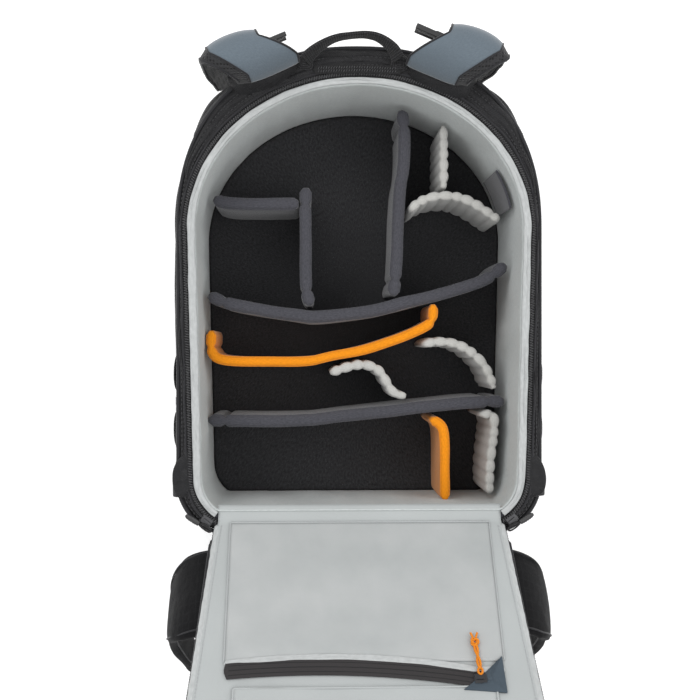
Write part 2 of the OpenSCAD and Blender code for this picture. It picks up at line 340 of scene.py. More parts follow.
def opening(grow, count):
    """The back opening, let out by grow."""
    return outline(OPEN_HALF_W + grow, OPEN_RISE + grow, 2, WAIST_HALF_W + grow,
                   OPEN_CORNER_Y, OPEN_CORNER_R + grow, count)


def shell(grow, count=AROUND):
    """The outside of the bag's shell, let out by grow."""
    return outline(HALF_W + grow, SHELL_HIGH[1] - ARCH_FOOT + grow, SHELL_POWER,
                   HALF_W + grow, SHELL_LOW[1] + SHELL_CORNER_R, SHELL_CORNER_R + grow, count)


def at_height(flat, z):
    return np.column_stack([flat, np.broadcast_to(z, len(flat))])


def wall(outline_at, section):
    """Rings across a section of (grow, z) points, one ring for each point of an outline."""
    return np.stack([at_height(outline_at(grow), z) for grow, z in section], axis=1)


def domed(edge, levels, lay, middle=None):
    """Rings of a flat outline drawn in to its middle, by levels of (share, height). lay puts
    a flat line at a height into space."""
    if middle is None:
        middle = edge.mean(axis=0)
    return np.stack([lay(middle + (edge - middle) * share, height)
                     for share, height in levels])


def bulge(low, high, grow, out, count):
    """(grow, z) points from low to high that stand out in the middle."""
    t = np.linspace(0, 1, count)
    return [(grow + out * math.sin(math.pi * a) ** 0.7, low + (high - low) * a) for a in t]


def flap_half_w(s, grow):
    """Half the width of the flap at s from its hinge."""
    foot = FLAP_FOOT_HALF_W + grow
    y = HINGE[1] + s
    up = np.clip((y - ARCH_FOOT) / (OPEN_RISE + grow), 0, 1)
    arch = (OPEN_HALF_W + grow) * np.sqrt(1 - up ** 2)
    side = foot + (OPEN_HALF_W + grow - foot) * np.clip(s / (ARCH_FOOT - HINGE[1]), 0, 1)
    return np.where(y > ARCH_FOOT, arch, side)


OPEN_ANGLE = math.radians(140)
ALONG_FLAP = np.array([0, math.cos(OPEN_ANGLE), math.sin(OPEN_ANGLE)])
OFF_FLAP = np.array([0, -math.sin(OPEN_ANGLE), math.cos(OPEN_ANGLE)])


def on_flap(x, s, t):
    """A point of the open flap: x across it, s from the hinge, t outwards from the hinge."""
    x, s, t = np.broadcast_arrays(x, s, t)
    return (HINGE + x[..., None] * np.array([1, 0, 0]) + s[..., None] * ALONG_FLAP
            + t[..., None] * OFF_FLAP)


def over_flap(line, t):
    """A line of (x, s) points on the open flap, all at height t."""
    return on_flap(line[:, 0], line[:, 1], t)


def flap_outline(grow, foot, count=420):
    """Open line round the flap in (x, s), from the left of the hinge to its right."""
    t = np.linspace(math.pi, 0, 121)
    arch = np.stack([(OPEN_HALF_W + grow) * np.cos(t),
                     ARCH_FOOT - HINGE[1] + (OPEN_RISE + grow) * np.sin(t)], axis=1)
    left = [[-flap_half_w(np.array(foot), grow), foot]]
    right = [[flap_half_w(np.array(foot), grow), foot]]
    return resample(np.vstack([left, arch, right]), count)

# ---- materials --------------------------------------------------------------------------


def link(tree, value, socket):
    """Joins a node's output to a socket, or sets the socket to a plain value."""
    if isinstance(value, bpy.types.NodeSocket):
        tree.links.new(value, socket)
    else:
        socket.default_value = value


def maths(tree, operation, a, b=0.0):
    """Result of a mathematical operation on one or two values."""
    node = tree.nodes.new("ShaderNodeMath")
    node.operation = operation
    link(tree, a, node.inputs[0])
    link(tree, b, node.inputs[1])
    return node.outputs[0]


def mixed(tree, share, a, b):
    """Colour between a, at share 0, and b, at share 1."""
    node = tree.nodes.new("ShaderNodeMix")
    node.data_type = "RGBA"
    link(tree, share, node.inputs["Factor"])
    link(tree, a, node.inputs[6])
    link(tree, b, node.inputs[7])
    return node.outputs[2]


def spotted(tree, where, scale, detail=3.0):
    """Cloudy noise with about scale spots to a metre."""
    node = tree.nodes.new("ShaderNodeTexNoise")
    tree.links.new(where, node.inputs["Vector"])
    set_inputs(node, {"Scale": scale, "Detail": detail})
    return node.outputs["Fac"]


def ramped(tree, value, low, high):
    """Spreads low..high of a value over 0..1."""
    node = tree.nodes.new("ShaderNodeMapRange")
    link(tree, value, node.inputs["Value"])
    set_inputs(node, {"From Min": low, "From Max": high})
    return node.outputs["Result"]


def wave(tree, a, pitch):
    """Sine of a distance, from -1 to 1, one turn to each pitch."""
    return maths(tree, "SINE", maths(tree, "MULTIPLY", a, 2 * math.pi / pitch))


def plus(tree, a, b, share):
    """a, and a share of b."""
    return maths(tree, "ADD", a, maths(tree, "MULTIPLY", b, share))


def weave(tree, uv, pattern, pitch):
    """Height of a cloth's surface, about 0 to 1."""
    parts = tree.nodes.new("ShaderNodeSeparateXYZ")
    tree.links.new(uv, parts.inputs[0])
    a, b = parts.outputs[0], parts.outputs[1]
    if pattern == "twill":
        across = maths(tree, "ADD", a, b)
        raised = plus(tree, wave(tree, across, pitch), wave(tree, a, pitch * 0.8), 0.35)
    elif pattern == "rib":
        raised = plus(tree, wave(tree, b, pitch), wave(tree, a, pitch * 0.9), 0.45)
    elif pattern == "braid":
        rising = wave(tree, maths(tree, "ADD", a, b), pitch)
        falling = wave(tree, maths(tree, "SUBTRACT", a, b), pitch)
        raised = maths(tree, "MAXIMUM", rising, falling)
    elif pattern == "ripstop":
        plain = maths(tree, "MULTIPLY", wave(tree, a, pitch), wave(tree, b, pitch))
        grid = maths(tree, "MAXIMUM", wave(tree, a, pitch * 6), wave(tree, b, pitch * 6))
        raised = plus(tree, plain, maths(tree, "GREATER_THAN", grid, 0.9), 1.1)
    else:
        raised = maths(tree, "MULTIPLY", wave(tree, a, pitch), wave(tree, b, pitch))
    return ramped(tree, raised, -1.2, 1.2)


def mesh_holes(tree, uv, pitch):
    """Height of an open knit, low in its holes."""
    node = tree.nodes.new("ShaderNodeTexVoronoi")
    tree.links.new(uv, node.inputs["Vector"])
    set_inputs(node, {"Scale": 1 / pitch, "Randomness": 0.15})
    return ramped(tree, node.outputs["Distance"], 0.12, 0.5)


def set_inputs(node, values):
    for name, value in values.items():
        node.inputs[name].default_value = value


def new_surface(name, roughness, sheen=0.0, specular=0.5):
    material = bpy.data.materials.new(name)
    material.use_nodes = True
    tree = material.node_tree
    shader = tree.nodes["Principled BSDF"]
    set_inputs(shader, {"Roughness": roughness, "Specular IOR Level": specular,
                        "Sheen Weight": sheen, "Sheen Roughness": 0.45})
    return material, tree, shader


def object_space(tree):
    return tree.nodes.new("ShaderNodeTexCoord").outputs["Object"]


def paint(tree, shader, tint, patches, spread, roughness):
    """Colour of a surface, and its roughness, which rises by spread where the patches are."""
    tree.links.new(tint, shader.inputs["Base Color"])
    rough = maths(tree, "ADD", maths(tree, "MULTIPLY", patches, spread), roughness)
    tree.links.new(rough, shader.inputs["Roughness"])


def bumped(tree, shader, heights):
    """Bumps of (height, depth) pairs, one on the other."""
    normal = None
    for height, depth in heights:
        node = tree.nodes.new("ShaderNodeBump")
        node.inputs["Distance"].default_value = depth
        tree.links.new(height, node.inputs["Height"])
        if normal:
            tree.links.new(normal, node.inputs["Normal"])
        normal = node.outputs["Normal"]
    tree.links.new(normal, shader.inputs["Normal"])


def cloth(name, colour, shade, pattern, pitch, depth, roughness, sheen, flecks=0.0,
          mapped=True, creases=0.0, gloss=0.2):
    """Woven or knitted cloth. shade is how dark its hollows are, flecks how much lint shows,
    and creases how deep its wrinkles are. pitch, depth and creases are in millimetres."""
    material, tree, shader = new_surface(name, roughness, sheen, gloss)
    solid = object_space(tree)
    surface = solid.node.outputs["UV"] if mapped else solid
    pitch, depth, creases = pitch * MM, depth * MM, creases * MM
    if pattern == "brushed":
        stretched = tree.nodes.new("ShaderNodeMapping")
        stretched.inputs["Scale"].default_value = (1.0, 0.35, 1.0)
        tree.links.new(surface, stretched.inputs["Vector"])
        height = spotted(tree, stretched.outputs[0], 1 / pitch, 4.0)
        height = ramped(tree, height, 0.3, 0.7)
    elif pattern == "mesh":
        height = mesh_holes(tree, surface, pitch)
    else:
        height = weave(tree, surface, pattern, pitch)
    patches = ramped(tree, spotted(tree, solid, 14.0), 0.3, 0.7)
    fibres = ramped(tree, spotted(tree, solid, 900.0, 2.0), 0.25, 0.75)
    low = tuple(c * shade for c in colour) + (1,)
    high = tuple(colour) + (1,)
    worn = tuple(min(1.0, c * 1.12 + 0.004) for c in colour) + (1,)
    tint = mixed(tree, height, low, mixed(tree, patches, high, worn))
    tint = mixed(tree, maths(tree, "MULTIPLY", fibres, 0.18), tint, low)
    if flecks:
        lint = ramped(tree, spotted(tree, solid, 1500.0, 1.0), 0.66, 0.74)
        tint = mixed(tree, maths(tree, "MULTIPLY", lint, flecks), tint, (0.3, 0.3, 0.31, 1))
    paint(tree, shader, tint, patches, 0.1, roughness - 0.05)
    heights = [(spotted(tree, solid, 60.0), depth * 1.5), (height, depth)]
    if creases:
        heights.insert(0, (ramped(tree, spotted(tree, solid, 38.0, 5.0), 0.3, 0.7), creases))
    bumped(tree, shader, heights)
    return material


def plastic(name, colour, roughness=0.42, grain=0.03 * MM, metal=0.0):
    """Moulded or painted part with a fine grain, scuffed paler here and there."""
    material, tree, shader = new_surface(name, roughness)
    shader.inputs["Metallic"].default_value = metal
    where = object_space(tree)
    scuffs = ramped(tree, spotted(tree, where, 220.0, 5.0), 0.55, 0.8)
    paler = tuple(c * 1.9 + 0.012 for c in colour) + (1,)
    tint = mixed(tree, maths(tree, "MULTIPLY", scuffs, 0.5), tuple(colour) + (1,), paler)
    paint(tree, shader, tint, scuffs, 0.2, roughness)
    bumped(tree, shader, [(spotted(tree, where, 2600.0, 2.0), grain)])
    return material


def frosted_film(name):
    """Milky pocket film that shows the lining behind it."""
    material, tree, shader = new_surface(name, 0.38, 0.0, 0.5)
    where = object_space(tree)
    clouds = ramped(tree, spotted(tree, where, 22.0, 4.0), 0.3, 0.7)
    tint = mixed(tree, clouds, (0.40, 0.42, 0.42, 1), (0.46, 0.475, 0.475, 1))
    paint(tree, shader, tint, clouds, 0.08, 0.36)
    shader.inputs["Alpha"].default_value = 0.82
    bumped(tree, shader, [(spotted(tree, where, 45.0), 0.5 * MM),
                          (spotted(tree, where, 1400.0, 2.0), 0.02 * MM)])
    return material


BLACK = (0.020, 0.020, 0.022)
PALE = (0.385, 0.405, 0.405)
NYLON = cloth("nylon", BLACK, 0.35, "plain", 2.1, 0.35, 0.55, 0.04, 0.15,
              creases=3.6)
SMOOTH_NYLON = cloth("smooth_nylon", (0.024, 0.024, 0.027), 0.6, "twill", 1.2, 0.15,
                     0.55, 0.1, 0.05, creases=1.2)
RIPSTOP = cloth("ripstop", (0.011, 0.011, 0.012), 0.45, "ripstop", 1.1, 0.2, 0.6,
                0.0, 0.02, creases=2.0, gloss=0.05)
SPACER = cloth("spacer_mesh", (0.030, 0.030, 0.032), 0.25, "mesh", 3.2, 0.8, 0.85,
               0.15, 0.1, mapped=False)
STRETCH = cloth("stretch_mesh", (0.026, 0.026, 0.028), 0.3, "mesh", 2.2, 0.3, 0.8, 0.1)
LINING = cloth("lining", PALE, 0.90, "plain", 0.9, 0.05, 0.55, 0.15)
WALL = cloth("wall_taffeta", (0.50, 0.53, 0.525), 0.86, "brushed", 1.4, 0.12, 0.75,
             0.25)
# Dark loop lining of the compartment floor. Its darkness is partly painted shade, standing in for
# the deep shadow between the dividers.
SHADED_FLOOR_CLOTH = cloth("floor_velour_painted_shade", (0.040, 0.040, 0.043), 0.5, "brushed", 1.2, 0.2,
                    0.9, 0.2, 0.2)
BINDING = cloth("binding", (0.435, 0.45, 0.45), 0.85, "brushed", 2.4, 0.25, 0.7, 0.1)
ZIP_FACE = cloth("zip_face", (0.034, 0.031, 0.032), 0.7, "twill", 1.0, 0.1, 0.6, 0.1)
TAPE = cloth("zip_tape", (0.020, 0.020, 0.021), 0.5, "twill", 1.0, 0.12, 0.75, 0.08)
WEBBING = cloth("webbing", (0.024, 0.024, 0.026), 0.25, "rib", 2.4, 0.5, 0.7, 0.12,
                0.35)
PATCH = cloth("patch_cloth", (0.062, 0.084, 0.106), 0.7, "twill", 1.2, 0.12, 0.7, 0.05)
STRAP = cloth("strap_cloth", (0.112, 0.140, 0.166), 0.86, "brushed", 1.0, 0.08, 0.7,
              0.3)
GREY_PAD = cloth("grey_velour", (0.068, 0.068, 0.080), 0.62, "brushed", 1.1, 0.16,
                 0.9, 0.25, 0.1)
QUILT = cloth("quilt_velour", (0.46, 0.455, 0.435), 0.86, "brushed", 1.1, 0.14, 0.9,
              0.25)
ORANGE = cloth("orange_velour", (0.78, 0.255, 0.004), 0.82, "brushed", 1.2, 0.12, 0.85,
               0.2)
ORANGE_CORD = cloth("orange_cord", (0.83, 0.26, 0.012), 0.5, "braid", 1.5, 0.25, 0.7,
                    0.1)
BLACK_CORD = cloth("black_cord", (0.024, 0.024, 0.025), 0.4, "braid", 1.5, 0.25, 0.6,
                   0.1)
THREAD = cloth("thread", (0.045, 0.045, 0.048), 0.6, "braid", 0.8, 0.05, 0.6, 0.1)
PALE_THREAD = cloth("pale_thread", (0.42, 0.43, 0.44), 0.7, "braid", 0.8, 0.05, 0.6,
                    0.1)
PLASTIC = plastic("buckle_plastic", (0.020, 0.020, 0.021))
COIL = plastic("zip_coil", (0.068, 0.068, 0.071), 0.25, 0.01 * MM)
METAL = plastic("zip_metal", (0.045, 0.045, 0.048), 0.3, 0.01 * MM, 0.6)
FILM = frosted_film("pocket_film")

# ---- sewn details -----------------------------------------------------------------------


def piping(name, path, radius, body="bag", **how):
    place(tube(name, path, radius, SMOOTH_NYLON, **how), body, "black_nylon")


def stitches(name, path, up=(0, 0, 1), pitch=4.0 * MM, radius=0.4 * MM, material=THREAD):
    """Row of short thread stitches along a path."""
    line = np.asarray(path, float)
    at = lengths(line)
    count = int(at[-1] / pitch)
    dash = 0.62 * pitch
    up_line = np.broadcast_to(np.asarray(up, float), line.shape)
    section = lozenge(2 * radius, 1.4 * radius, 2, 6)
    parts = []
    for k in range(count):
        middle = (k + 0.5) * pitch
        spots = middle + dash * np.array([-0.5, -0.25, 0.25, 0.5])
        bit = np.stack([np.interp(spots, at, line[:, a]) for a in range(3)], axis=1)
        over = np.array([np.interp(middle, at, up_line[:, a]) for a in range(3)])
        rings = sweep(bit, section * np.array([0.5, 1, 1, 0.5])[:, None, None], over)
        parts.append(rings)
    faces = []
    for k in range(count):
        base = k * 24
        for row in range(3):
            for j in range(6):
                a = base + row * 6 + j
                b = base + row * 6 + (j + 1) % 6
                faces.append((a, b, b + 6, a + 6))
        faces.append([base + j for j in range(6)][::-1])
        faces.append([base + 18 + j for j in range(6)])
    mesh = bpy.data.meshes.new(name)
    mesh.from_pydata(np.reshape(parts, (-1, 3)).tolist(), [], faces)
    return make_object(name, mesh, material)


COIL_PITCH = 2.5 * MM
COIL_WIRE = 0.42 * MM


def coil(name, path, up=(0, 0, 1), width=4.4 * MM, height=1.7 * MM):
    """Flattened spiral of a zip's coil along a path."""
    turns = int(lengths(np.asarray(path))[-1] / COIL_PITCH)
    count = turns * 6 + 1
    line = resample(path, count)
    up = np.asarray(up, float)
    over = resample(up, count) if up.ndim == 2 else np.broadcast_to(up, line.shape)
    ahead = tangents(line)
    side = np.cross(ahead, over)
    angle = np.arange(count)[:, None] * math.pi / 3
    spiral = line + side * np.cos(angle) * width / 2 + over * np.sin(angle) * height / 2
    return swept(name, spiral, lozenge(2 * COIL_WIRE, 2 * COIL_WIRE, 2, 4), COIL, ahead)


def outward(line):
    """Unit normals of a flat anticlockwise outline, pointing out of it."""
    ahead = tangents(line)
    return xyz(ahead[:, 1], -ahead[:, 0], 0)


def upper(line, y, count=AROUND):
    """The part of a closed outline above y, from its right end to its left end."""
    return resample(line[line[:, 1] > y], count)


def lower(line, y, count):
    """The part of a closed outline under y, from its left end to its right end."""
    turned = np.roll(line, len(line) // 2, axis=0)
    return resample(turned[turned[:, 1] < y], count)


def zipped(line, count=AROUND):
    """The part of a closed outline that the zip follows, which ends beside the flap's hinge."""
    beside = (abs(line[:, 0]) > ZIP_END_X) & (line[:, 1] > ZIP_END)
    return resample(line[beside | (line[:, 1] > ZIP_END + 15 * MM)], count)


def panel(name, outline_at, section, material):
    """Closed band along an open outline, with a section of (grow, z) points."""
    rings = crumple(wall(outline_at, section), 1.2 * MM, 22.0, len(name))
    return loft(name, rings, material)


# ---- main body --------------------------------------------------------------------------

ZIP_END = box("yoke_panel")[0][1]
ZIP_END_X = 141 * MM
TAPE_W = 6 * MM
SEAM_R = 2.0 * MM
BOOT_TOP_Y = -168 * MM
CAP_LOW_Y = 150 * MM


def make_shell():
    """Outer fabric of the camera compartment, piped at its front and back edges."""
    outer = bulge(LAPTOP_Z, RIM_Z, -0.5 * MM, 3.5 * MM, 16)
    section = outer + [(-2.5 * MM, RIM_Z + 0.5 * MM), (-3 * MM, RIM_Z - 2 * MM),
                       (-3 * MM, LAPTOP_Z)]
    rings = wall(shell, section)
    rings[:, :16] = crumple(rings[:, :16], 3.2 * MM, 16.0, 1)
    place(loft("shell_fabric", rings, NYLON, along=True), "bag", "black_nylon", "outer_shell")
    for name, z in (("back", RIM_Z), ("front", LAPTOP_Z)):
        piping("shell_piping_" + name, at_height(shell(1.4 * MM), z), SEAM_R, closed=True)


def make_reinforcements():
    """Tougher fabric round the bag's bottom and its top, piped and stitched at the edges."""
    low, high = (corner[2] for corner in box("base_boot"))
    section = bulge(low, high, 2.4 * MM, 3.0 * MM, 12) + [(0.2 * MM, high), (0.2 * MM, low)]

    def base(grow):
        return lower(shell(grow, SIDE_AROUND), BOOT_TOP_Y, 200)

    def top(grow):
        return upper(shell(grow, SIDE_AROUND), CAP_LOW_Y, 200)

    place(panel("base_fabric", base, section, SMOOTH_NYLON), "bag", "black_nylon", "base_boot")
    place(panel("top_fabric", top, section, NYLON), "bag", "black_nylon", "top_panel")
    for name, part in (("base", base(4.2 * MM)), ("top", top(4.2 * MM))):
        for edge, z in (("front", low), ("back", high)):
            piping("%s_piping_%s" % (name, edge), at_height(part, z), 1.7 * MM, taper=4 * MM)
        away = outward(part)
        row = stitches(name + "_stitches", at_height(part, high - 6 * MM) + away * 1.6 * MM,
                       away)
        place(row, "bag", "black_nylon")


def yoke_at(share, lift=0.0):
    """Line on the fabric frame, from the outer seam at 0 to the zip at 1."""
    outer = zipped(shell(-0.5 * MM, FINE))
    inner = zipped(opening(TAPE_W + 3 * MM, FINE))
    flat = outer * (1 - share) + inner * share
    crown = 3.4 * MM * math.sin(math.pi * min(1, max(0, share))) ** 0.7
    return at_height(flat, RIM_Z + 1.5 * MM + crown + (YOKE_Z - RIM_Z) * share * 0.6 + lift)


def make_yoke():
    """Fabric frame round the opening, grooved at its two seams."""
    shares = np.linspace(0, 1, 22)
    top = np.stack([yoke_at(a) for a in shares], axis=1)
    for seam in (0.30, 0.66):
        groove = np.exp(-((shares - seam) / 0.035) ** 2) * 1.6 * MM
        top[:, :, 2] -= groove
    top = crumple(top, 3.0 * MM, 30.0, 3)
    under = [yoke_at(a) * (1, 1, 0) + (0, 0, RIM_Z - 0.4 * MM) for a in (1.0, 0.5, 0.0)]
    rings = np.concatenate([top, np.stack(under, axis=1)], axis=1)
    place(loft("yoke_fabric", rings, NYLON), "bag", "black_nylon", "yoke_panel")
    for k, share in enumerate((0.36, 0.72)):
        row = stitches("yoke_stitches_%d" % k, yoke_at(share, 0.1 * MM), pitch=4.4 * MM,
                       radius=0.45 * MM)
        place(row, "bag", "black_nylon")


def make_binding():
    """Soft light binding round the opening, with the fold of its fabric."""
    line = zipped(opening(-0.6 * MM, FINE), FINE)
    high = np.clip((line[:, 1] - ARCH_FOOT) / OPEN_RISE, 0, 1)
    end = np.clip((line[:, 1] - ZIP_END) / (60 * MM), 0, 1)
    pucker = noise_at(at_height(line, 0), 45.0, 2) * 0.10
    shape = shaped(lozenge(8.0 * MM, 4.4 * MM, 2.6, 22),
                   (0.75 + 0.25 * end) * (1 - 0.2 * high) * (1 + pucker))
    rings = sweep(at_height(line, YOKE_Z + 2.0 * MM), shape)
    rings = crumple(rings, 0.5 * MM, 60.0, 4)
    place(loft("binding_band", rings, BINDING), "bag", "grey_binding", "rim_binding")
    fold = at_height(zipped(opening(-0.2 * MM, FINE), FINE), YOKE_Z + 4.0 * MM)
    fold[:, 2] -= 0.3 * high * MM
    place(tube("binding_fold", crumple(fold, 1.6 * MM, 45.0, 8), 0.5 * MM, BINDING,
               taper=4 * MM), "bag", "grey_binding")


def make_main_zip():
    """Tape, coil and piping of the main zip, on the frame."""
    section = [(3.0, 0.2), (3.0, 1.2), (5.5, 1.6), (8.0, 1.5), (10.0, 2.0), (11.0, 1.2),
               (10.0, 0.2)]
    tape = panel("main_zip_band", lambda g: zipped(opening(g, FINE)),
                 [(g * MM, YOKE_Z + z * MM) for g, z in section], TAPE)
    place(tape, "bag", "zip_tape", "main_zip_tape")
    line = zipped(opening(6.0 * MM, FINE))
    place(coil("main_zip_coil", at_height(line, YOKE_Z + 2.6 * MM)), "bag", "zip_tape")
    cord = at_height(zipped(opening(9.8 * MM, FINE), 600), YOKE_Z + 2.2 * MM)
    piping("main_zip_piping", crumple(cord, 1.0 * MM, 40.0, 14), 1.2 * MM, taper=3 * MM)


def slider(name, place_at):
    """Zip slider: two plates, its nose, and the bridge that holds the pull."""
    plates = [((-4.2, -6, 0.0), (4.2, 6, 1.1)), ((-4.0, -5.4, 2.6), (4.0, 5.4, 3.6)),
              ((-1.3, 2.6, 0.5), (1.3, 5.8, 3.2)), ((-4.4, -5.5, 0.4), (-3.4, 1.5, 3.2)),
              ((3.4, -5.5, 0.4), (4.4, 1.5, 3.2)), ((-1.1, -4.6, 3.2), (1.1, -3.0, 5.4)),
              ((-1.1, 1.8, 3.2), (1.1, 3.4, 5.4)), ((-1.1, -4.6, 4.6), (1.1, 3.4, 5.8))]
    return bars(name, plates, METAL, 0.35 * MM, place_at)


def make_main_sliders():
    """Both sliders, round the opening's lower corners."""
    turn = math.radians(-51)
    centre = np.array([WAIST_HALF_W - OPEN_CORNER_R, OPEN_CORNER_Y, YOKE_Z + 1.4 * MM])
    reach = OPEN_CORNER_R + 10 * MM
    made = []
    for side, sign in SIDES:
        def place_at(p):
            r, q = p[0] + reach, p[1]
            x = centre[0] + r * math.cos(turn) - q * math.sin(turn)
            y = centre[1] + r * math.sin(turn) + q * math.cos(turn)
            return np.array([sign * x, y, centre[2] + p[2] * 0.9])
        made.append(slider("main_slider_" + side, place_at))
    place(joined("main_sliders", made), "bag", "zip_metal", "main_zip_sliders")


def make_main_pulls():
    """Cord loop from each slider with a moulded ribbed end, lying outwards and upwards."""
    turn = math.radians(33)
    ahead = np.array([math.cos(turn), math.sin(turn), 0])
    length, half = 30 * MM, 1.9 * MM
    split = length * 0.45
    for side, sign in SIDES:
        node = "main_pull_" + side
        z = box(node)[0][2] + 1.4 * MM
        foot = np.array([146 * MM, -238 * MM, z])

        def laid(points):
            p = np.asarray(points, float)
            over = np.array([-ahead[1], ahead[0], 0])
            return (foot + p[:, :1] * ahead + p[:, 1:2] * over) * (sign, 1, 1)

        loop = [(split, half * 0.4), (split - 5 * MM, half), (2 * MM, half), (0, 0),
                (2 * MM, -half), (split - 5 * MM, -half), (split, -half * 0.4)]
        cord = tube("main_%s_cord" % side, laid(curve(loop, 60)), 0.85 * MM, BLACK_CORD)
        stations = np.linspace(0, 1, 40)
        path = laid(np.column_stack([split + (length - split) * stations, 0 * stations]))
        swell = 0.72 + 0.28 * np.sin(math.pi * np.clip(stations * 1.1, 0, 1)) ** 0.5
        ribs = 1 - 0.12 * (np.sin(stations * math.pi * 14) > 0.2)
        shape = shaped(lozenge(5.8 * MM, 3.0 * MM, 3.0, 16), swell * ribs)
        tip = swept("main_%s_tip" % side, path, shape, PLASTIC, taper=1.5 * MM)
        place(cord, node, "black_cord", node)
        place(tip, node, "black_cord")


def make_top_zip():
    """Short zip above the arch, with two rows of coil."""
    low, high = box("top_zip")
    y = (low[1] + high[1]) / 2
    path = resample([(low[0], y, 0), (0, y + 1.5 * MM, 0), (high[0], y, 0)], 60)
    path[:, 2] = low[2] + 2.6 * MM
    tape = swept("top_zip_band", path, lozenge(high[1] - low[1], 1.4 * MM, 5, 14), TAPE,
                 taper=2 * MM)
    place(tape, "bag", "zip_tape", "top_zip")
    rows = [coil("row", path[3:-3] + (0, off * MM, 1.0 * MM), width=2.6 * MM)
            for off in (-1.4, 1.4)]
    place(joined("top_zip_coil", rows), "bag", "zip_tape")


def make_laptop_shell():
    """Fabric of the laptop compartment, under the camera compartment."""
    low, high = POCKET_Z, LAPTOP_Z
    section = [(-24 * MM, low + 1.5 * MM), (-12 * MM, low + 0.5 * MM), (-6 * MM, low + 1 * MM)]
    section += bulge(low + 3 * MM, high - 1 * MM, -3 * MM, 4.5 * MM, 12)
    section += [(-5 * MM, high), (-8 * MM, high - 2 * MM), (-24 * MM, low + 4 * MM)]
    rings = wall(shell, section)
    rings[:, 1:-3] = crumple(rings[:, 1:-3], 2.4 * MM, 18.0, 5)
    front = loft("laptop_fabric", rings, NYLON, along=True)
    place(front, "bag", "black_nylon", "front_shell")


def make_front_pocket():
    """Flat pocket that the bag lies on, piped round its edge."""
    levels = [(-27, 20), (-25.5, 19), (-24.5, 15), (-24, 10), (-25, 5), (-29, 1.6), (-38, 0.5),
              (-70, 0.3)]
    rings = np.stack([at_height(shell(g * MM), z * MM) for g, z in levels])
    rings[1:-3] = crumple(rings[1:-3], 1.6 * MM, 20.0, 6)
    pocket = loft("pocket_fabric", rings, NYLON)
    place(pocket, "bag", "black_nylon", "front_pocket")
    seam = at_height(shell(-25 * MM), POCKET_Z - 0.5 * MM)
    piping("pocket_piping", seam, 1.8 * MM, closed=True)


def make_front_zips():
    """Zips over the top of the laptop compartment and of the front pocket."""
    zips, coils = [], []
    for name, grow, z, end in (("laptop", 0.6 * MM, 49 * MM, -120 * MM),
                               ("pocket", -23.6 * MM, 13.5 * MM, -60 * MM)):
        line = upper(shell(grow, FINE), end)
        away = outward(line)
        path = at_height(line, z)
        zips.append(swept(name + "_zip", path + away * 0.6 * MM,
                          lozenge(1.4 * MM, 9 * MM, 5, 14), TAPE, taper=2 * MM))
        coils.append(coil(name + "_coil", path[2:-2] + away[2:-2] * 1.8 * MM, away[2:-2]))
    place(joined("front_zip_bands", zips), "bag", "zip_tape", "front_zips")
    place(joined("front_zip_coils", coils), "bag", "zip_tape")


def right_run(grow, count, x_low, y_low, y_high=math.inf):
    """The part of the shell's outline past x_low and between two values of y."""
    flat = shell(grow, FINE)
    kept = (flat[:, 0] > x_low) & (flat[:, 1] > y_low) & (flat[:, 1] < y_high)
    return resample(flat[kept], count)


def make_side_ridges():
    """Padded rolls down both sides, with the piping that ends them at the top corners."""
    for side, sign in SIDES:
        rolls = []
        for z, radius, top, grow in ((205, 5.0, 152, 0.5), (182, 6.0, 160, 2.5),
                                     (150, 4.0, 166, 3.5)):
            run = right_run(grow * MM, 160, 0, -166 * MM, top * MM)
            path = at_height(run, z * MM)
            path = crumple(path, 2.0 * MM, 16.0, z) * (sign, 1, 1)
            rolls.append(tube("roll", path, radius * MM, NYLON, sides=14, taper=12 * MM))
        place(joined("side_roll_" + side, rolls), "bag", "black_nylon")
        run = right_run(3.5 * MM, 80, 96 * MM, 150 * MM)
        cords = []
        for z in (214, 196):
            path = at_height(run, z * MM) * (sign, 1, 1)
            cords.append(tube("cord", path, 2.2 * MM, SMOOTH_NYLON, taper=6 * MM))
        place(joined("corner_piping_" + side, cords), "bag", "black_nylon")


def make_corner_rolls():
    """Bulging upper corners of the front compartments, seen past the back panel's frame."""
    for side, sign in SIDES:
        run = right_run(0, 70, 98 * MM, 128 * MM)
        swell = np.sin(np.linspace(0, math.pi, 70)) ** 0.9
        out = left_of(run)
        out *= np.sign(out[:, :1])
        rolls, cords = [], []
        for z, push, size in ((196, 7, 24), (170, 8, 28), (136, 6, 30)):
            path = at_height(run + out * (push * MM * swell[:, None] - 9 * MM), z * MM)
            shape = shaped(lozenge(size * MM, size * MM, 2.4, 26), 0.5 + 0.5 * swell)
            rings = crumple(sweep(path, shape, taper=6 * MM), 5.0 * MM, 18.0, z) * (sign, 1, 1)
            rolls.append(loft("roll", rings, NYLON))
            for reach, lift in ((0.47, 0.16), (0.36, 0.36)):
                edge = path + at_height(out * (reach * size * MM * swell[:, None] - 2 * MM), 0)
                edge[:, 2] += lift * size * MM
                cords.append(tube("cord", crumple(edge, 2.0 * MM, 22.0, z) * (sign, 1, 1),
                                  2.2 * MM, SMOOTH_NYLON, taper=5 * MM))
        place(joined("corner_roll_" + side, rolls), "bag", "black_nylon")
        place(joined("corner_cords_" + side, cords), "bag", "black_nylon")


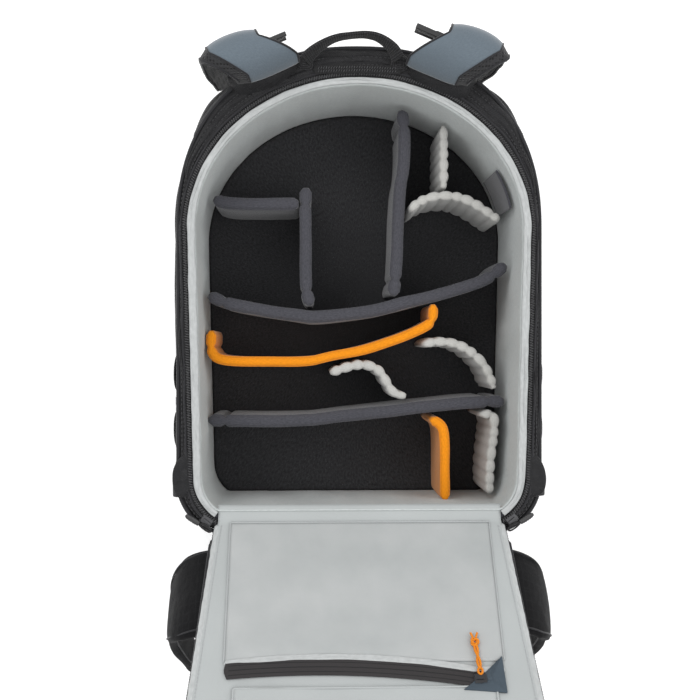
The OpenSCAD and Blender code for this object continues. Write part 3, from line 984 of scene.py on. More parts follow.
def make_side_pockets():
    """Stretch pockets that bow out of the sides, with a hem at the mouth."""
    low, high = box("side_pockets")
    y_low, y_high = low[1], high[1]
    z_low, z_high = low[2] + 2 * MM, high[2] - 2 * MM
    along = np.linspace(0, 1, 40)
    across = np.linspace(0, math.pi, 28)
    full = np.clip(along / 0.25, 0.05, 1) ** 0.5 * (1 - 0.22 * np.clip((along - 0.8) / 0.2, 0, 1))
    for side, sign in SIDES:
        x = HALF_W + 0.6 * MM + 9.5 * MM * full[:, None] * np.sin(across)[None] ** 0.55
        y = (y_low + (y_high - y_low) * along)[:, None]
        z = (z_low + z_high) / 2 - (z_high - z_low) / 2 * np.cos(across)[None]
        grid = crumple(xyz(sign * x, y, z), 1.6 * MM, 30.0, sign)
        cloth_piece = loft("side_mesh_" + side, grid, STRETCH, around=False)
        thicken(cloth_piece, 0.8 * MM)
        place(cloth_piece, "bag", "black_mesh", *once("side_pockets", sign))
        hem = tube("side_hem_" + side, grid[-1], 2.0 * MM, WEBBING, taper=1.5 * MM)
        place(hem, "bag", "black_mesh")


def thicken(obj, thickness):
    solid = obj.modifiers.new("thickness", "SOLIDIFY")
    solid.thickness = thickness
    solid.offset = 0
    return applied(obj)


GLIDE_RIM = 3.0


def make_side_straps():
    """Webbing down both sides, slack in two places, with a tri-glide each."""
    z = (box("side_straps")[0][2] + box("side_straps")[1][2]) / 2
    foot = HALF_W + 2.2 * MM
    route = [(foot, -46), (foot, -58), (foot + 5.5 * MM, -72), (foot + 5.5 * MM, -96),
             (foot + 0.5 * MM, -104), (foot + 0.5 * MM, -118), (foot + 5.5 * MM, -126),
             (foot + 5.5 * MM, -152), (foot, -162), (foot, -170)]
    low, high = (corner / MM for corner in box("strap_keepers"))
    x0, x1 = high[0] - GLIDE_RIM, high[0]
    y0, y1 = -115, -107
    glide = [((x0, y0, low[2]), (x1, y1, low[2] + GLIDE_RIM)),
             ((x0, y0, high[2] - GLIDE_RIM), (x1, y1, high[2])),
             ((x0, y0, low[2]), (x1, y0 + 2, high[2])),
             ((x0, -112, low[2]), (x1, -110, high[2])),
             ((x0, y1 - 2, low[2]), (x1, y1, high[2]))]
    for side, sign in SIDES:
        path = curve([(sign * x, y * MM, z) for x, y in route], 90)
        strap = swept("side_webbing_" + side, path, lozenge(1.8 * MM, 20 * MM, 6, 20), WEBBING,
                      taper=0.8 * MM)
        place(strap, "bag", "webbing", *once("side_straps", sign))
        made = bars("strap_keeper_" + side, glide, PLASTIC, 0.6 * MM,
                    lambda p: p * np.array([sign, 1, 1]))
        place(made, "bag", "buckle_plastic", *once("strap_keepers", sign))


def make_anchors():
    """Tabs at the lower corners with the webbing and the buckles that hang there."""
    corner = [(168, -158), (178, -166), (184.5, -178), (185.5, -190), (183, -201), (176, -206),
              (169, -205), (166, -198), (164, -186), (164, -170)]
    buckle_low, buckle_high = box("anchor_buckles")
    for side, sign in SIDES:
        edge = curve(corner + corner[:1], 80, 2) * MM * (sign, 1)
        levels = [(0.97, 0.0), (1.0, 1.0), (0.99, 2.2), (0.94, 3.4), (0.7, 4.4), (0.3, 4.8)]
        rings = domed(edge, levels, lambda line, z: at_height(line, YOKE_Z - 1 * MM + z * MM))
        tab = loft("anchor_tab_" + side, crumple(rings, 1.0 * MM, 60.0, 9), NYLON)
        place(tab, "bag", "webbing", *once("anchor_tabs", sign))
        x = sign * (buckle_high[0] - 5 * MM)
        y = (buckle_low[1] + buckle_high[1]) / 2
        drop = [(sign * 178 * MM, y, YOKE_Z + 1 * MM), (sign * 184 * MM, y, YOKE_Z - 2 * MM),
                (x - sign * 2 * MM, y, YOKE_Z - 20 * MM), (x, y, 170 * MM),
                (x, y, buckle_high[2] - 6 * MM)]
        path = curve(drop, 50)
        stub = swept("anchor_webbing_" + side, path, lozenge(25 * MM, 1.9 * MM, 6, 20), WEBBING,
                     (sign, 0, 0.3))
        place(stub, "bag", "webbing")
        female = buckle_female("anchor_buckle_" + side, (x, y, buckle_low[2]), sign)
        place(female, "bag", "buckle_plastic", *once("anchor_buckles", sign))


def buckle_female(name, foot, sign):
    """Socket half of a side-release buckle, standing on its mouth."""
    parts = [((-4.6, -16.5, 14), (4.6, 16.5, 31)), ((-4.6, -16.5, 0), (4.6, -13.2, 20)),
             ((-4.6, 13.2, 0), (4.6, 16.5, 20)), ((-4.6, -5, 3), (-3.0, 5, 20)),
             ((3.0, -5, 3), (4.6, 5, 20)), ((-4.6, -14, 8), (-3.2, 14, 18)),
             ((3.2, -14, 8), (4.6, 14, 18)), ((-3.0, -16, 35.5), (3.0, 16, 39.5)),
             ((-2.6, -16.4, 26), (2.6, -13.4, 38)), ((-2.6, 13.4, 26), (2.6, 16.4, 38))]
    return bars(name, parts, PLASTIC, 1.1 * MM,
                lambda p: np.array(foot) + p * np.array([sign, 1, 1]))

# ---- camera compartment -----------------------------------------------------------------


def cavity_wall(grow, count=AROUND):
    """Closed outline of the lined compartment, with its straight lower wall."""
    line = opening(grow, count)
    line[:, 1] = np.maximum(line[:, 1], CAVITY_LOW - grow - 4 * MM)
    return line


PATCH_Y = (84 * MM, 124 * MM)
PATCH_Z = (104 * MM, 196 * MM)


def make_wall_lining():
    """Light lining of the compartment, and the loop patch sewn to its right side."""
    heights = np.linspace(YOKE_Z + 1 * MM, FLOOR_Z + 0.5 * MM, 26)
    section = [(-4.6 * MM, z) for z in heights] + [(-3.2 * MM, heights[-1]),
                                                   (-3.2 * MM, heights[0])]
    rings = wall(cavity_wall, section)
    inside = rings[:, :26]
    inward = -outward(cavity_wall(-4.6 * MM))
    stretched = inside * (1, 1, 0.22)
    fold = noise_at(stretched, 34.0, 11) + 0.5 * noise_at(stretched, 80.0, 12)
    slack = np.sin(np.linspace(0, math.pi, 26)) ** 0.6
    depth = (1.2 + 2.6 * fold) * slack[None] * MM
    inside += inward[:, None] * np.clip(depth, 0, 4 * MM)[..., None]
    lining = loft("wall_cloth", rings, WALL, along=True)
    place(lining, "bag", "grey_lining", "wall_lining")
    ring = np.roll(cavity_wall(-9.4 * MM, SIDE_AROUND), SIDE_AROUND // 2, axis=0)
    keep = ring[(ring[:, 0] > 0) & (ring[:, 1] > PATCH_Y[0]) & (ring[:, 1] < PATCH_Y[1])]
    levels = np.linspace(*PATCH_Z, 12)
    grid = np.stack([at_height(resample(keep, 24), z) for z in levels])
    patch = thicken(loft("loop_patch", grid, GREY_PAD, around=False), 1.2 * MM)
    place(patch, "bag", "divider_grey")


def make_foam_wall():
    """Foam between the lining and the shell."""
    section = [(-2.4 * MM, LAPTOP_Z + 1 * MM), (-2.4 * MM, RIM_Z + 1 * MM),
               (2 * MM, RIM_Z + 1.6 * MM), (6 * MM, RIM_Z), (6 * MM, LAPTOP_Z + 1 * MM)]
    rings = wall(cavity_wall, section)
    place(loft("wall_foam", rings, GREY_PAD, along=True), "bag", "foam", "foam_wall")


def make_floor():
    """Dark brushed floor, dimpled and with two cross seams. Its dark colour is partly painted
    shade: it stands in for the deep shadow on the compartment's floor.
    """
    line = cavity_wall(-4.8 * MM)
    middle = np.array([0, -5 * MM])
    levels = [(1.0, -3.6), (1.0, -0.8), (0.985, -0.2)] + [
        (f, 0.0) for f in np.linspace(0.95, 0.06, 40)]
    rings = domed(line, levels, lambda flat, z: at_height(flat, FLOOR_Z + z * MM), middle)
    soft = noise_at(rings[3:], 22.0, 13) * 0.5 * MM
    seams = np.minimum(abs(rings[3:, :, 1] - 60 * MM), abs(rings[3:, :, 1] + 80 * MM))
    rings[3:, :, 2] += soft - 0.5 * MM - np.exp(-(seams / (2 * MM)) ** 2) * 1.2 * MM
    place(loft("floor_cloth", rings, SHADED_FLOOR_CLOTH), "bag", "floor_lining", "floor_board")


DIVIDERS = {
    "lens_shelf": ("grey", [(-149, 97), (-138, 92), (-110, 91), (-61, 92)]),
    "camera_left": ("grey", [(-54, 108), (-54, 8), (-53, -2), (-49, -14)]),
    "camera_right": ("grey", [(45, 189), (49, 180), (49, 130), (43, 106), (41, 20), (36, -3)]),
    "cross_upper": ("grey", [(-154, -3), (-134, -13), (-62, -24), (-44, -27), (14, -20),
                             (38, -14), (122, 8), (142, 18), (154, 30)]),
    "charger_wall": ("quilt", [(90, 174), (90, 109)]),
    "lens_arc": ("quilt", [(55, 84), (60, 92), (78, 100), (101, 101), (116, 96), (132, 87),
                           (148, 75)]),
    "orange_cross": ("orange", [(-151, -40), (-152, -66), (-134, -72), (-50, -72), (-34, -68),
                                (2, -61), (40, -49), (72, -36), (79, -28), (79, -13)]),
    "pad_centre": ("quilt", [(-28, -84), (-12, -78), (6, -74), (22, -80), (30, -92),
                             (38, -106), (50, -108)]),
    "pad_right": ("quilt", [(68, -54), (80, -51), (100, -52), (116, -60), (132, -74),
                            (139, -88), (143, -100)]),
    "cross_lower": ("grey", [(-154, -133), (-55, -134), (-28, -130), (63, -120), (124, -114),
                             (153, -114)]),
    "orange_upright": ("orange", [(76, -131), (88, -138), (91, -152), (91, -216)]),
    "battery_wall": ("quilt", [(128, -127), (142, -127), (143, -142), (138, -184),
                               (138, -210)]),
}
PAD_THICKNESS = {"grey": 12 * MM, "quilt": 10 * MM, "orange": 9.5 * MM}
PAD_CLOTH = {"grey": GREY_PAD, "quilt": QUILT, "orange": ORANGE}
CHANNEL = 12.0 * MM
THIN_END = 0.5


def pad_section(low, high, thickness):
    """Half outline of a standing pad, from the middle of its top to the middle of its foot."""
    half = thickness / 2
    top = [(0.0, 0.0), (0.32, 0.1), (0.62, 0.5), (0.84, 1.4), (0.96, 3.0), (0.985, 5.0),
           (0.90, 6.6), (0.99, 8.6)]
    side = [(1.03, 18), (1.05, 34), (1.05, 52), (1.04, 70), (1.02, 86)]
    points = [(n * half, high - d * MM) for n, d in top + side]
    return np.array(points + [(0.99 * half, low + 3 * MM), (0.8 * half, low), (0, low)])


def make_divider(name, style, corners):
    """Padded divider along a route, thinner and lower at both ends."""
    node = "divider_" + name
    low, high = box(node)
    thickness = PAD_THICKNESS[style] * 0.97
    path = rounded(np.array(corners) * MM, 3)
    size = lengths(path)[-1]
    line = resample(path, int(size / (1.6 * MM)) + 2)
    at = lengths(line)
    half = pad_section(low[2] + 0.3 * MM, high[2] - 0.6 * MM, thickness)
    ring = np.vstack([half, half[-2:0:-1] * (-1, 1)])
    shape = np.repeat(ring[None], len(line), axis=0)
    near = np.minimum(at, at[-1] - at)
    reach = 8 * MM if style == "quilt" else 5 * MM
    swell = THIN_END + (1 - THIN_END) * np.clip(near / reach, 0, 1) ** 0.6
    top = np.clip((ring[:, 1] - high[2] + 30 * MM) / (30 * MM), 0, 1)
    if style == "quilt":
        uneven = noise_at(at_height(line, 0), 60.0, 70 + len(name))
        puff = abs(np.sin(math.pi * (at / CHANNEL + 0.25 * uneven))) ** 0.6
        swell *= 0.64 + (0.42 + 0.1 * uneven) * puff
        shape[:, :, 1] += (puff[:, None] - 0.8) * 2.2 * MM * top
    elif at[-1] > 120 * MM:
        swell *= 1 - 0.4 * np.exp(-((near - 17 * MM) / (2.6 * MM)) ** 2)
    shape[:, :, 0] *= swell[:, None]
    lift = noise_at(at_height(line, 0), 26.0, len(name)) * 1.3 * MM
    shape[:, :, 1] += lift[:, None] * top
    ends = np.clip(near / (3 * MM), 0, 1)
    shape[:, :, 1] -= ((1 - ends) ** 2)[:, None] * 2.5 * MM * top
    rings = np.empty(shape.shape[:2] + (3,))
    rings[..., :2] = line[:, None] + left_of(line)[:, None] * shape[..., :1]
    rings[..., 2] = shape[..., 1]
    loose = np.clip(top, 0.25, 1)[None, :, None]
    rings += (crumple(rings, 1.1 * MM, 34.0, 20 + len(name)) - rings) * loose
    pad = loft(node + "_pad", rings, PAD_CLOTH[style])
    if style != "quilt":
        pad = with_ridges(pad, rings, PAD_CLOTH[style])
    place(pad, node, "divider_" + style, node)


def make_dividers():
    for name, (style, corners) in DIVIDERS.items():
        make_divider(name, style, corners)


def with_ridges(pad, rings, material):
    """Adds the turned seam that runs along each top edge of a smooth pad."""
    name = pad.name
    parts = [pad]
    for column in (4, rings.shape[1] - 4):
        parts.append(tube("ridge", rings[2:-2, column], 0.7 * MM, material, sides=6,
                          taper=1 * MM))
    result = joined("ridged", parts)
    result.name = name
    return result


# ---- back flap --------------------------------------------------------------------------


def flap_patch(name, xs, ss, t_at, material, thickness):
    """Sheet on the flap over the given x and s stations. t_at(x, s) says how high it lies."""
    x, s = np.meshgrid(xs, ss)
    grid = on_flap(x, s, t_at(x, s))
    return thicken(loft(name, grid, material, around=False), thickness)


def lining_folds(x, s):
    """Soft folds of the flap lining: pulls from both upper corners, and slack lower down."""
    flat = xyz(x, s * 0.45, 0)
    broad = noise_at(flat, 20.0, 31) * 1.1 + noise_at(flat, 55.0, 32) * 0.45
    corner = np.exp(-((abs(x) - 118 * MM) / (26 * MM)) ** 2) * np.exp(-s / (95 * MM))
    pulls = np.sin(x * 2 * math.pi / (21 * MM)) * corner
    low = np.clip((s - 180 * MM) / (40 * MM), 0, 1)
    slack = noise_at(xyz(x * 0.7, s, 0), 26.0, 33) * 2.2 * low
    return (broad * 0.55 + pulls * 1.5 + slack) * MM


LINING_IN = 2.2 * MM
LINING_T = 3.0 * MM


def make_flap_lining():
    """The flap's lining, and its lip that bends over the hinge onto the bag."""
    s = np.concatenate([np.linspace(4, 30, 10), np.linspace(36, 400, 86),
                        np.linspace(403, 427.5, 14)]) * MM
    u = np.linspace(-1, 1, 90)
    x = (flap_half_w(s, -LINING_IN) - 0.4 * MM)[:, None] * u[None]
    deep = np.broadcast_to(s[:, None], x.shape)
    calm = np.clip((1 - abs(u)) / 0.05, 0, 1)[None] * np.clip(deep / (18 * MM), 0, 1)
    t = LINING_T - lining_folds(x, deep) * calm * 0.6
    grid = on_flap(x, deep, t)
    lead = [(-213, 222.6), (-216.5, 224.0), (-220, 224.6), (-223.4, 225.2), (-226.2, 226.4)]
    lip = np.stack([xyz(x[0], y * MM, z * MM) for y, z in lead])
    lining = loft("flap_cloth", np.concatenate([lip, grid]), LINING, around=False)
    thicken(lining, 0.9 * MM)
    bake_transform(lining)
    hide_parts("flap_lining")
    return lining


def flap_band(name, grow, t, width, thickness, material, foot, power=4.0, puff=0.0):
    """Band round the flap's edge, which starts at foot. puff is how uneven its size is."""
    line = flap_outline(grow, foot)
    path = over_flap(line, t)
    shape = lozenge(width, thickness, power, 14)
    if puff:
        shape = shaped(shape, 1 + puff * noise_at(path, 150.0, 5))
    return swept(name, path, shape, material, -OFF_FLAP, 2 * MM)


def make_flap_edges():
    """Flap's half of the main zip, and the bound and stitched edge of its lining."""
    band = flap_band("flap_zip_band", -1.8 * MM, 4.0 * MM, 5.4 * MM, 1.2 * MM, TAPE, 12 * MM)
    place(band, "flap", "zip_tape", "flap_zip_tape")
    line = flap_outline(0.4 * MM, 16 * MM)
    path = over_flap(line, 5.0 * MM)
    place(coil("flap_zip_coil", path, -OFF_FLAP, 1.8 * MM, 1.3 * MM), "flap", "zip_tape")
    edge = flap_band("flap_border", -2.4 * MM, 3.3 * MM, 5.4 * MM, 1.9 * MM, BINDING,
                     7 * MM, 3.0, 0.16)
    place(edge, "flap", "grey_binding")
    line = flap_outline(-6.6 * MM, 8 * MM)
    seam = over_flap(line, 2.0 * MM)
    place(stitches("flap_border_stitches", seam, -OFF_FLAP, 3.6 * MM, 0.35 * MM, PALE_THREAD),
          "flap", "grey_binding")


def flap_loop(grow, foot):
    """Closed outline of the flap in (x, s), cut straight at its foot."""
    return resample(flap_outline(grow, foot, 400), 360, closed=True)


def near_hinge(line):
    """An outline of the flap, let out a little beside the hinge."""
    out = 3 * MM * np.clip(1 - line[:, 1] / (170 * MM), 0, 1)
    return line + np.column_stack([np.sign(line[:, 0]) * out, 0 * out])


def make_flap_cover():
    """The flap's outer cover, which turns in round its edge."""
    levels = [(-12, 4.9), (-4, 4.9), (-2.2, 5.4), (-0.4, 7.4), (0.4, 10), (0, 13.4),
              (-1.8, 15.8), (-5, 16.4), (-10, 16.6)]
    rings = []
    for grow, t in levels:
        line = near_hinge(flap_loop(grow * MM, (22 - grow * 0.4) * MM))
        rings.append(over_flap(line, t * MM))
    last = flap_loop(-10 * MM, 26 * MM)
    levels = [(share, 16.8 * MM) for share in np.linspace(0.93, 0.05, 14)]
    rings += list(domed(last, levels, over_flap, np.array([0, 200 * MM])))
    rings = crumple(np.array(rings), 1.8 * MM, 18.0, 41)
    cover = loft("flap_shell", rings, NYLON)
    place(cover, "flap", "black_nylon", "flap_board", "flap_cover")
    line = near_hinge(flap_outline(0.2 * MM, 24 * MM))
    path = over_flap(line, 9 * MM)
    piping("flap_piping", path, 1.3 * MM, "flap", taper=3 * MM)


def make_flap_hinge():
    """Double fabric that carries the flap, from the bag's lower edge past the hinge."""
    bag_side = [(-240.5, 219.5), (-239.0, 222.6), (-234.5, 223.9), (-229.5, 224.4)]
    flap_side = [(3.5, 4.6), (8, 5.6), (14, 6.8), (21, 9.5), (26, 13)]
    rows = []
    u = np.linspace(-1, 1, 60)
    for y, z in bag_side:
        rows.append(xyz(u * HINGE_HALF_W, y * MM, z * MM))
    for s, t in flap_side:
        x = u * float(flap_half_w(np.array(s * MM), 1 * MM))
        rows.append(on_flap(x, s * MM, t * MM))
    grid = crumple(np.array(rows), 0.8 * MM, 40.0, 42)
    hinge = thicken(loft("flap_hinge_fabric", grid, SMOOTH_NYLON, around=False), 1.4 * MM)
    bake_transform(hinge)


POCKET_HALF_W = box("pocket_window")[1][0]
FILM_S = (6 * MM, 154 * MM)
LOWER_HALF_W = 118 * MM
LOWER_S = (178 * MM, 366 * MM)
ZIP_S = 168 * MM
SLIDER_X = 104 * MM
LOWER_ZIP_S = 375 * MM
SLOPE = 0.033


def pocket_rise(x):
    """How far the pocket's mouth rides towards the hinge, most left of its middle."""
    return 10 * MM * np.maximum(0, np.cos(math.pi * (x + 18 * MM) / (232 * MM))) ** 0.8


def pocket_seam(name, half_w, low, high, sharp, count, t, radius):
    """Seam round three sides of a pocket on the flap. Its corners are less round where sharp
    is more."""
    edge = [(-half_w, high), *[(-half_w, low)] * sharp, *[(half_w, low)] * sharp, (half_w, high)]
    path = over_flap(curve(edge, count, 2), t)
    place(tube(name, path, radius, LINING, taper=1 * MM), "flap", "grey_lining")
    return path


def make_pocket_window():
    """Frosted film of the upper pocket, sewn down round three sides and bound at its mouth."""
    x = np.linspace(-POCKET_HALF_W, POCKET_HALF_W, 70)
    s = np.linspace(*FILM_S, 44)

    def film_t(x, s):
        flat = xyz(x, s, 0)
        rim = np.minimum(POCKET_HALF_W - abs(x), np.minimum(s - FILM_S[0], FILM_S[1] - s))
        return (1.7 * MM - np.clip(rim / (14 * MM), 0, 1) * (
            0.5 * MM + noise_at(flat, 17.0, 51) * 1.0 * MM))

    film = flap_patch("pocket_film", x, s, film_t, FILM, 0.5 * MM)
    place(film, "flap", "pocket_film", "pocket_window")
    path = pocket_seam("pocket_seam", POCKET_HALF_W, *FILM_S, 3, 300, 1.3 * MM, 0.8 * MM)
    place(stitches("pocket_stitches", path - OFF_FLAP * 0.7 * MM, -OFF_FLAP, 3.2 * MM,
                   0.3 * MM, PALE_THREAD), "flap", "grey_lining")
    x = np.linspace(-POCKET_HALF_W, POCKET_HALF_W, 120)
    wave_s = 156.5 * MM + SLOPE * (x + POCKET_HALF_W) * 0.8 - pocket_rise(x)
    path = on_flap(x, wave_s, 0.9 * MM + noise_at(xyz(x, 0, 0), 30.0, 52) * 0.4 * MM)
    edge = swept("pocket_edge", path, lozenge(6.4 * MM, 1.6 * MM, 4, 14), BINDING, -OFF_FLAP,
                 1 * MM)
    place(edge, "flap", "grey_binding", "pocket_binding")


def make_pocket_zips():
    """Smooth-faced zips of both pockets, with a line down the middle and a ridge each side."""
    tapes, gaps = [], []
    for k, (zip_s, left, right) in enumerate(((ZIP_S, -127 * MM, 108 * MM),
                                              (LOWER_ZIP_S, -98 * MM, 98 * MM))):
        x = np.linspace(left, right, 120)
        line = zip_s + (SLOPE * x - pocket_rise(x) * 0.8) * (k == 0)
        path = on_flap(x, line, 0.9 * MM)
        tapes.append(swept("tape", path, lozenge(16 * MM, 1.5 * MM, 5, 18), ZIP_FACE, -OFF_FLAP,
                           0.4 * MM))
        gaps.append(tube("gap", path[2:-2] - OFF_FLAP * 0.5 * MM, 0.5 * MM, TAPE))
        for side in (-1, 1):
            edge = path[2:-2] + ALONG_FLAP * side * 4.5 * MM - OFF_FLAP * 0.5 * MM
            gaps.append(tube("ridge", edge, 0.45 * MM, TAPE))
    place(joined("pocket_zip_bands", tapes), "flap", "zip_tape", "pocket_zip_tapes")
    place(joined("pocket_zip_lines", gaps), "flap", "zip_tape")


def make_lower_pocket():
    """Slack cloth pocket on the outer half of the flap."""
    x = np.linspace(-LOWER_HALF_W, LOWER_HALF_W, 60)
    s = np.linspace(*LOWER_S, 60)

    def pocket_t(x, s):
        flat = xyz(x * 0.6, s, 0)
        return (0.8 * MM - noise_at(flat, 24.0, 61) * 1.5 * MM
                - noise_at(flat, 60.0, 62) * 0.6 * MM)

    cloth_piece = flap_patch("lower_pocket_cloth", x, s, pocket_t, LINING, 0.8 * MM)
    place(cloth_piece, "flap", "grey_lining", "lower_pocket")
    pocket_seam("lower_pocket_seam", LOWER_HALF_W, 179 * MM, LOWER_S[1], 2, 260, 0.6 * MM,
                1.0 * MM)


def make_corner_patch():
    """Blue patch over the end of the pocket's zip."""
    corners = np.array([(125.5, 150), (127, 185.5), (88, 182), (107, 167.5)]) * MM
    edge = resample(corners, 90, closed=True)
    levels = [(1.0, 1.2), (1.0, 0.0), (0.985, -0.6), (0.94, -0.9), (0.5, -1.1), (0.1, -1.2)]
    rings = domed(edge, levels, lambda line, t: over_flap(line, t * MM))
    patch = loft("corner_patch", rings, PATCH)
    place(patch, "flap", "strap_blue", "corner_patch")


def make_pocket_slider():
    """Slider at the right end of the upper pocket's zip."""
    low_s, t = ZIP_S + SLOPE * SLIDER_X + 1 * MM, -0.2 * MM

    def place_at(p):
        x, s = SLIDER_X + p[1], low_s - p[0]
        return on_flap(x, s, t - p[2] * 0.6)

    made = slider("pocket_slider_body", place_at)
    place(made, "zip_slider", "zip_metal", "pocket_slider")


def make_pocket_pull():
    """Orange cord, doubled through the slider and knotted, lying towards the hinge."""
    low, high = 128 * MM, 164 * MM
    t = -2.6 * MM
    strands = []
    for k in (-1, 1):
        s = np.linspace(high, low + 12 * MM, 40)
        sway = 1.3 * MM * np.sin((high - s) / (13 * MM) * math.pi) * k
        lift = 0.7 * MM * np.cos((high - s) / (13 * MM) * math.pi) * k
        x = SLIDER_X - (high - s) * 0.10 + sway
        strands.append(tube("strand", on_flap(x, s, t + lift), 1.15 * MM, ORANGE_CORD))
    eye_angle = np.linspace(0, 2 * math.pi, 40)[:-1]
    eye = on_flap(SLIDER_X + 2.0 * MM * np.cos(eye_angle), high + 1.5 * MM
                  + 3.0 * MM * np.sin(eye_angle), t)
    strands.append(tube("eye", eye, 1.1 * MM, ORANGE_CORD, closed=True))
    knot = []
    for a in np.linspace(0, 2 * math.pi, 60)[:-1]:
        knot.append((2.6 * math.cos(2 * a) * (1 + 0.3 * math.cos(3 * a)),
                     2.8 * math.sin(2 * a) * (1 + 0.3 * math.cos(3 * a)), 1.0 * math.sin(3 * a)))
    knot = np.array(knot) * MM
    centre = (SLIDER_X - (high - low - 9 * MM) * 0.10, low + 9 * MM)
    strands.append(tube("knot", on_flap(centre[0] + knot[:, 0], centre[1] + knot[:, 1],
                                        t + knot[:, 2]), 1.15 * MM, ORANGE_CORD, closed=True))
    for k in (-1, 1):
        s = np.linspace(low + 6 * MM, low, 12)
        x = centre[0] + k * (1 * MM + (low + 6 * MM - s) * 0.35)
        strands.append(tube("end", on_flap(x, s, t), 1.0 * MM, ORANGE_CORD))
    place(joined("pocket_pull_cord", strands), "zip_pull", "orange_cord", "pocket_pull")


# ---- pads on the back of the flap -------------------------------------------------------

SWELL_CAP = 5 * MM
SWELL_PRESSURE = 4.0
SWELL_FRAMES = 20


def inflate(obj):
    """Puffs a closed mesh up by a short cloth simulation, no point moving past the cap."""
    remesh = obj.modifiers.new("even", "REMESH")
    remesh.mode = "VOXEL"
    remesh.voxel_size = 4.5 * MM
    applied(obj)
    rest = vertices(obj)
    cloth_sim = obj.modifiers.new("cloth", "CLOTH")
    cloth_sim.settings.use_pressure = True
    cloth_sim.settings.uniform_pressure_force = SWELL_PRESSURE
    cloth_sim.settings.effector_weights.gravity = 0
    cloth_sim.settings.quality = 4
    scene = bpy.context.scene
    for step in range(1, SWELL_FRAMES + 1):
        scene.frame_set(step)
    applied(obj)
    moved = vertices(obj) - rest
    far = np.linalg.norm(moved, axis=1, keepdims=True)
    capped = rest + moved * np.minimum(1, SWELL_CAP / np.maximum(far, 1e-9))
    move_vertices(obj, capped)
    scene.frame_set(1)
    smoother = obj.modifiers.new("fine", "SUBSURF")
    smoother.levels = 1
    smoother.render_levels = 1
    applied(obj)
    for polygon in obj.data.polygons:
        polygon.use_smooth = True
    return obj


def flap_pad(name, corners, base, thickness, channels):
    """Padded panel on the flap's back with sewn channels across it, at the given s."""
    edge = curve(np.array(corners + corners[:1]) * MM, 120, 2)
    levels = [(0.95, 0.0), (1.0, 0.12), (1.01, 0.4), (0.98, 0.72), (0.93, 0.9), (0.85, 0.98)]
    levels += [(share, 1.0) for share in np.linspace(0.78, 0.06, 12)]
    rings = domed(edge, levels, lambda line, high: over_flap(line, base + high * thickness))
    pad = loft(name, rings, SPACER)
    inflate(pad)
    press_channels(pad, base, thickness, channels)
    return pad


def press_channels(pad, base, thickness, channels):
    """Presses a pad in along the sewn lines at the given s."""
    points = vertices(pad)
    s = (points - HINGE) @ ALONG_FLAP
    t = (points - HINGE) @ OFF_FLAP
    depth = np.zeros(len(points))
    for channel in channels:
        depth += np.exp(-((s - channel * MM) / (3.2 * MM)) ** 2)
    high = np.clip((t - base) / thickness, 0, 1.2)
    move_vertices(pad, points - OFF_FLAP * (depth * high * 0.5 * thickness)[:, None])


def make_back_pads():
    """Two back pads and the lumbar pad, on the outside of the flap."""
    base = 16.4 * MM
    tall = 18 * MM
    y_to_s = -HINGE[1] / MM
    for side, sign in SIDES:
        corners = [(sign * x, y + y_to_s) for x, y in
                   ((19, -37), (115, -37), (119, 60), (98, 115), (19, 121))]
        pad = flap_pad("back_pad_" + side, corners, base, tall, (232, 278, 318))
        place(pad, "flap", "black_mesh", *once("back_pads", sign))
    corners = [(x, y + y_to_s) for x, y in ((-115, -185), (115, -185), (121, -120), (107, -65),
                                            (-107, -65), (-121, -120))]
    pad = flap_pad("lumbar_cushion", corners, base, tall + 5 * MM, (82, 122))
    place(pad, "flap", "black_mesh", "lumbar_pad")


# ---- hip belt ---------------------------------------------------------------------------


BELT_S = 47 * MM


def make_hip_wings():
    """Padded wings along routes of (x, t) points, between a low and a high s."""
    route = rounded([(136, 24), (156, 28), (178, 46), (187, 85), (189, 130), (183, 170),
                     (175, 205)], 3)
    line = resample(route * MM, 70)
    share = np.linspace(0, 1, 70)
    low = np.interp(line[:, 1], [0, 0.130, 0.230], [0.022, 0.028, 0.038])
    high = np.interp(line[:, 1], [0, 0.040, 0.075, 0.110, 0.230],
                     [0.116, 0.112, 0.097, 0.080, 0.064])
    normal = -left_of(line)
    section = lozenge(1.0, 1.0, 3.4, 40)
    for side, sign in SIDES:
        body = "hip_wing_" + side
        thick = 12.5 * MM * (0.92 + 0.1 * np.sin(share * 20)) * np.clip(
            np.minimum(share, 1 - share) / 0.03, 0.3, 1) ** 0.5
        rings = []
        for k in range(70):
            off = section[:, 0] * thick[k]
            x = sign * (line[k, 0] + normal[k, 0] * off)
            t = line[k, 1] + normal[k, 1] * off
            s = (low[k] + high[k]) / 2 + section[:, 1] * (high[k] - low[k])
            rings.append(on_flap(x, s, t))
        wing = loft("hip_pad_" + side, crumple(np.array(rings), 2.0 * MM, 22.0, 71), RIPSTOP)
        place(wing, body, "wing_fabric", body)
        seams = []
        for edge, inset in ((low, 1), (high, -1)):
            for face in (-1, 1):
                x = sign * (line[:, 0] + normal[:, 0] * face * thick * 0.38)
                t = line[:, 1] + normal[:, 1] * face * thick * 0.38
                path = on_flap(x, edge + inset * 4 * MM, t)
                seams.append(tube("seam", path[2:-2], 0.9 * MM, SMOOTH_NYLON, taper=3 * MM))
        place(joined("hip_piping_" + side, seams), body, "black_nylon")
        make_hip_belt(side, sign, body)


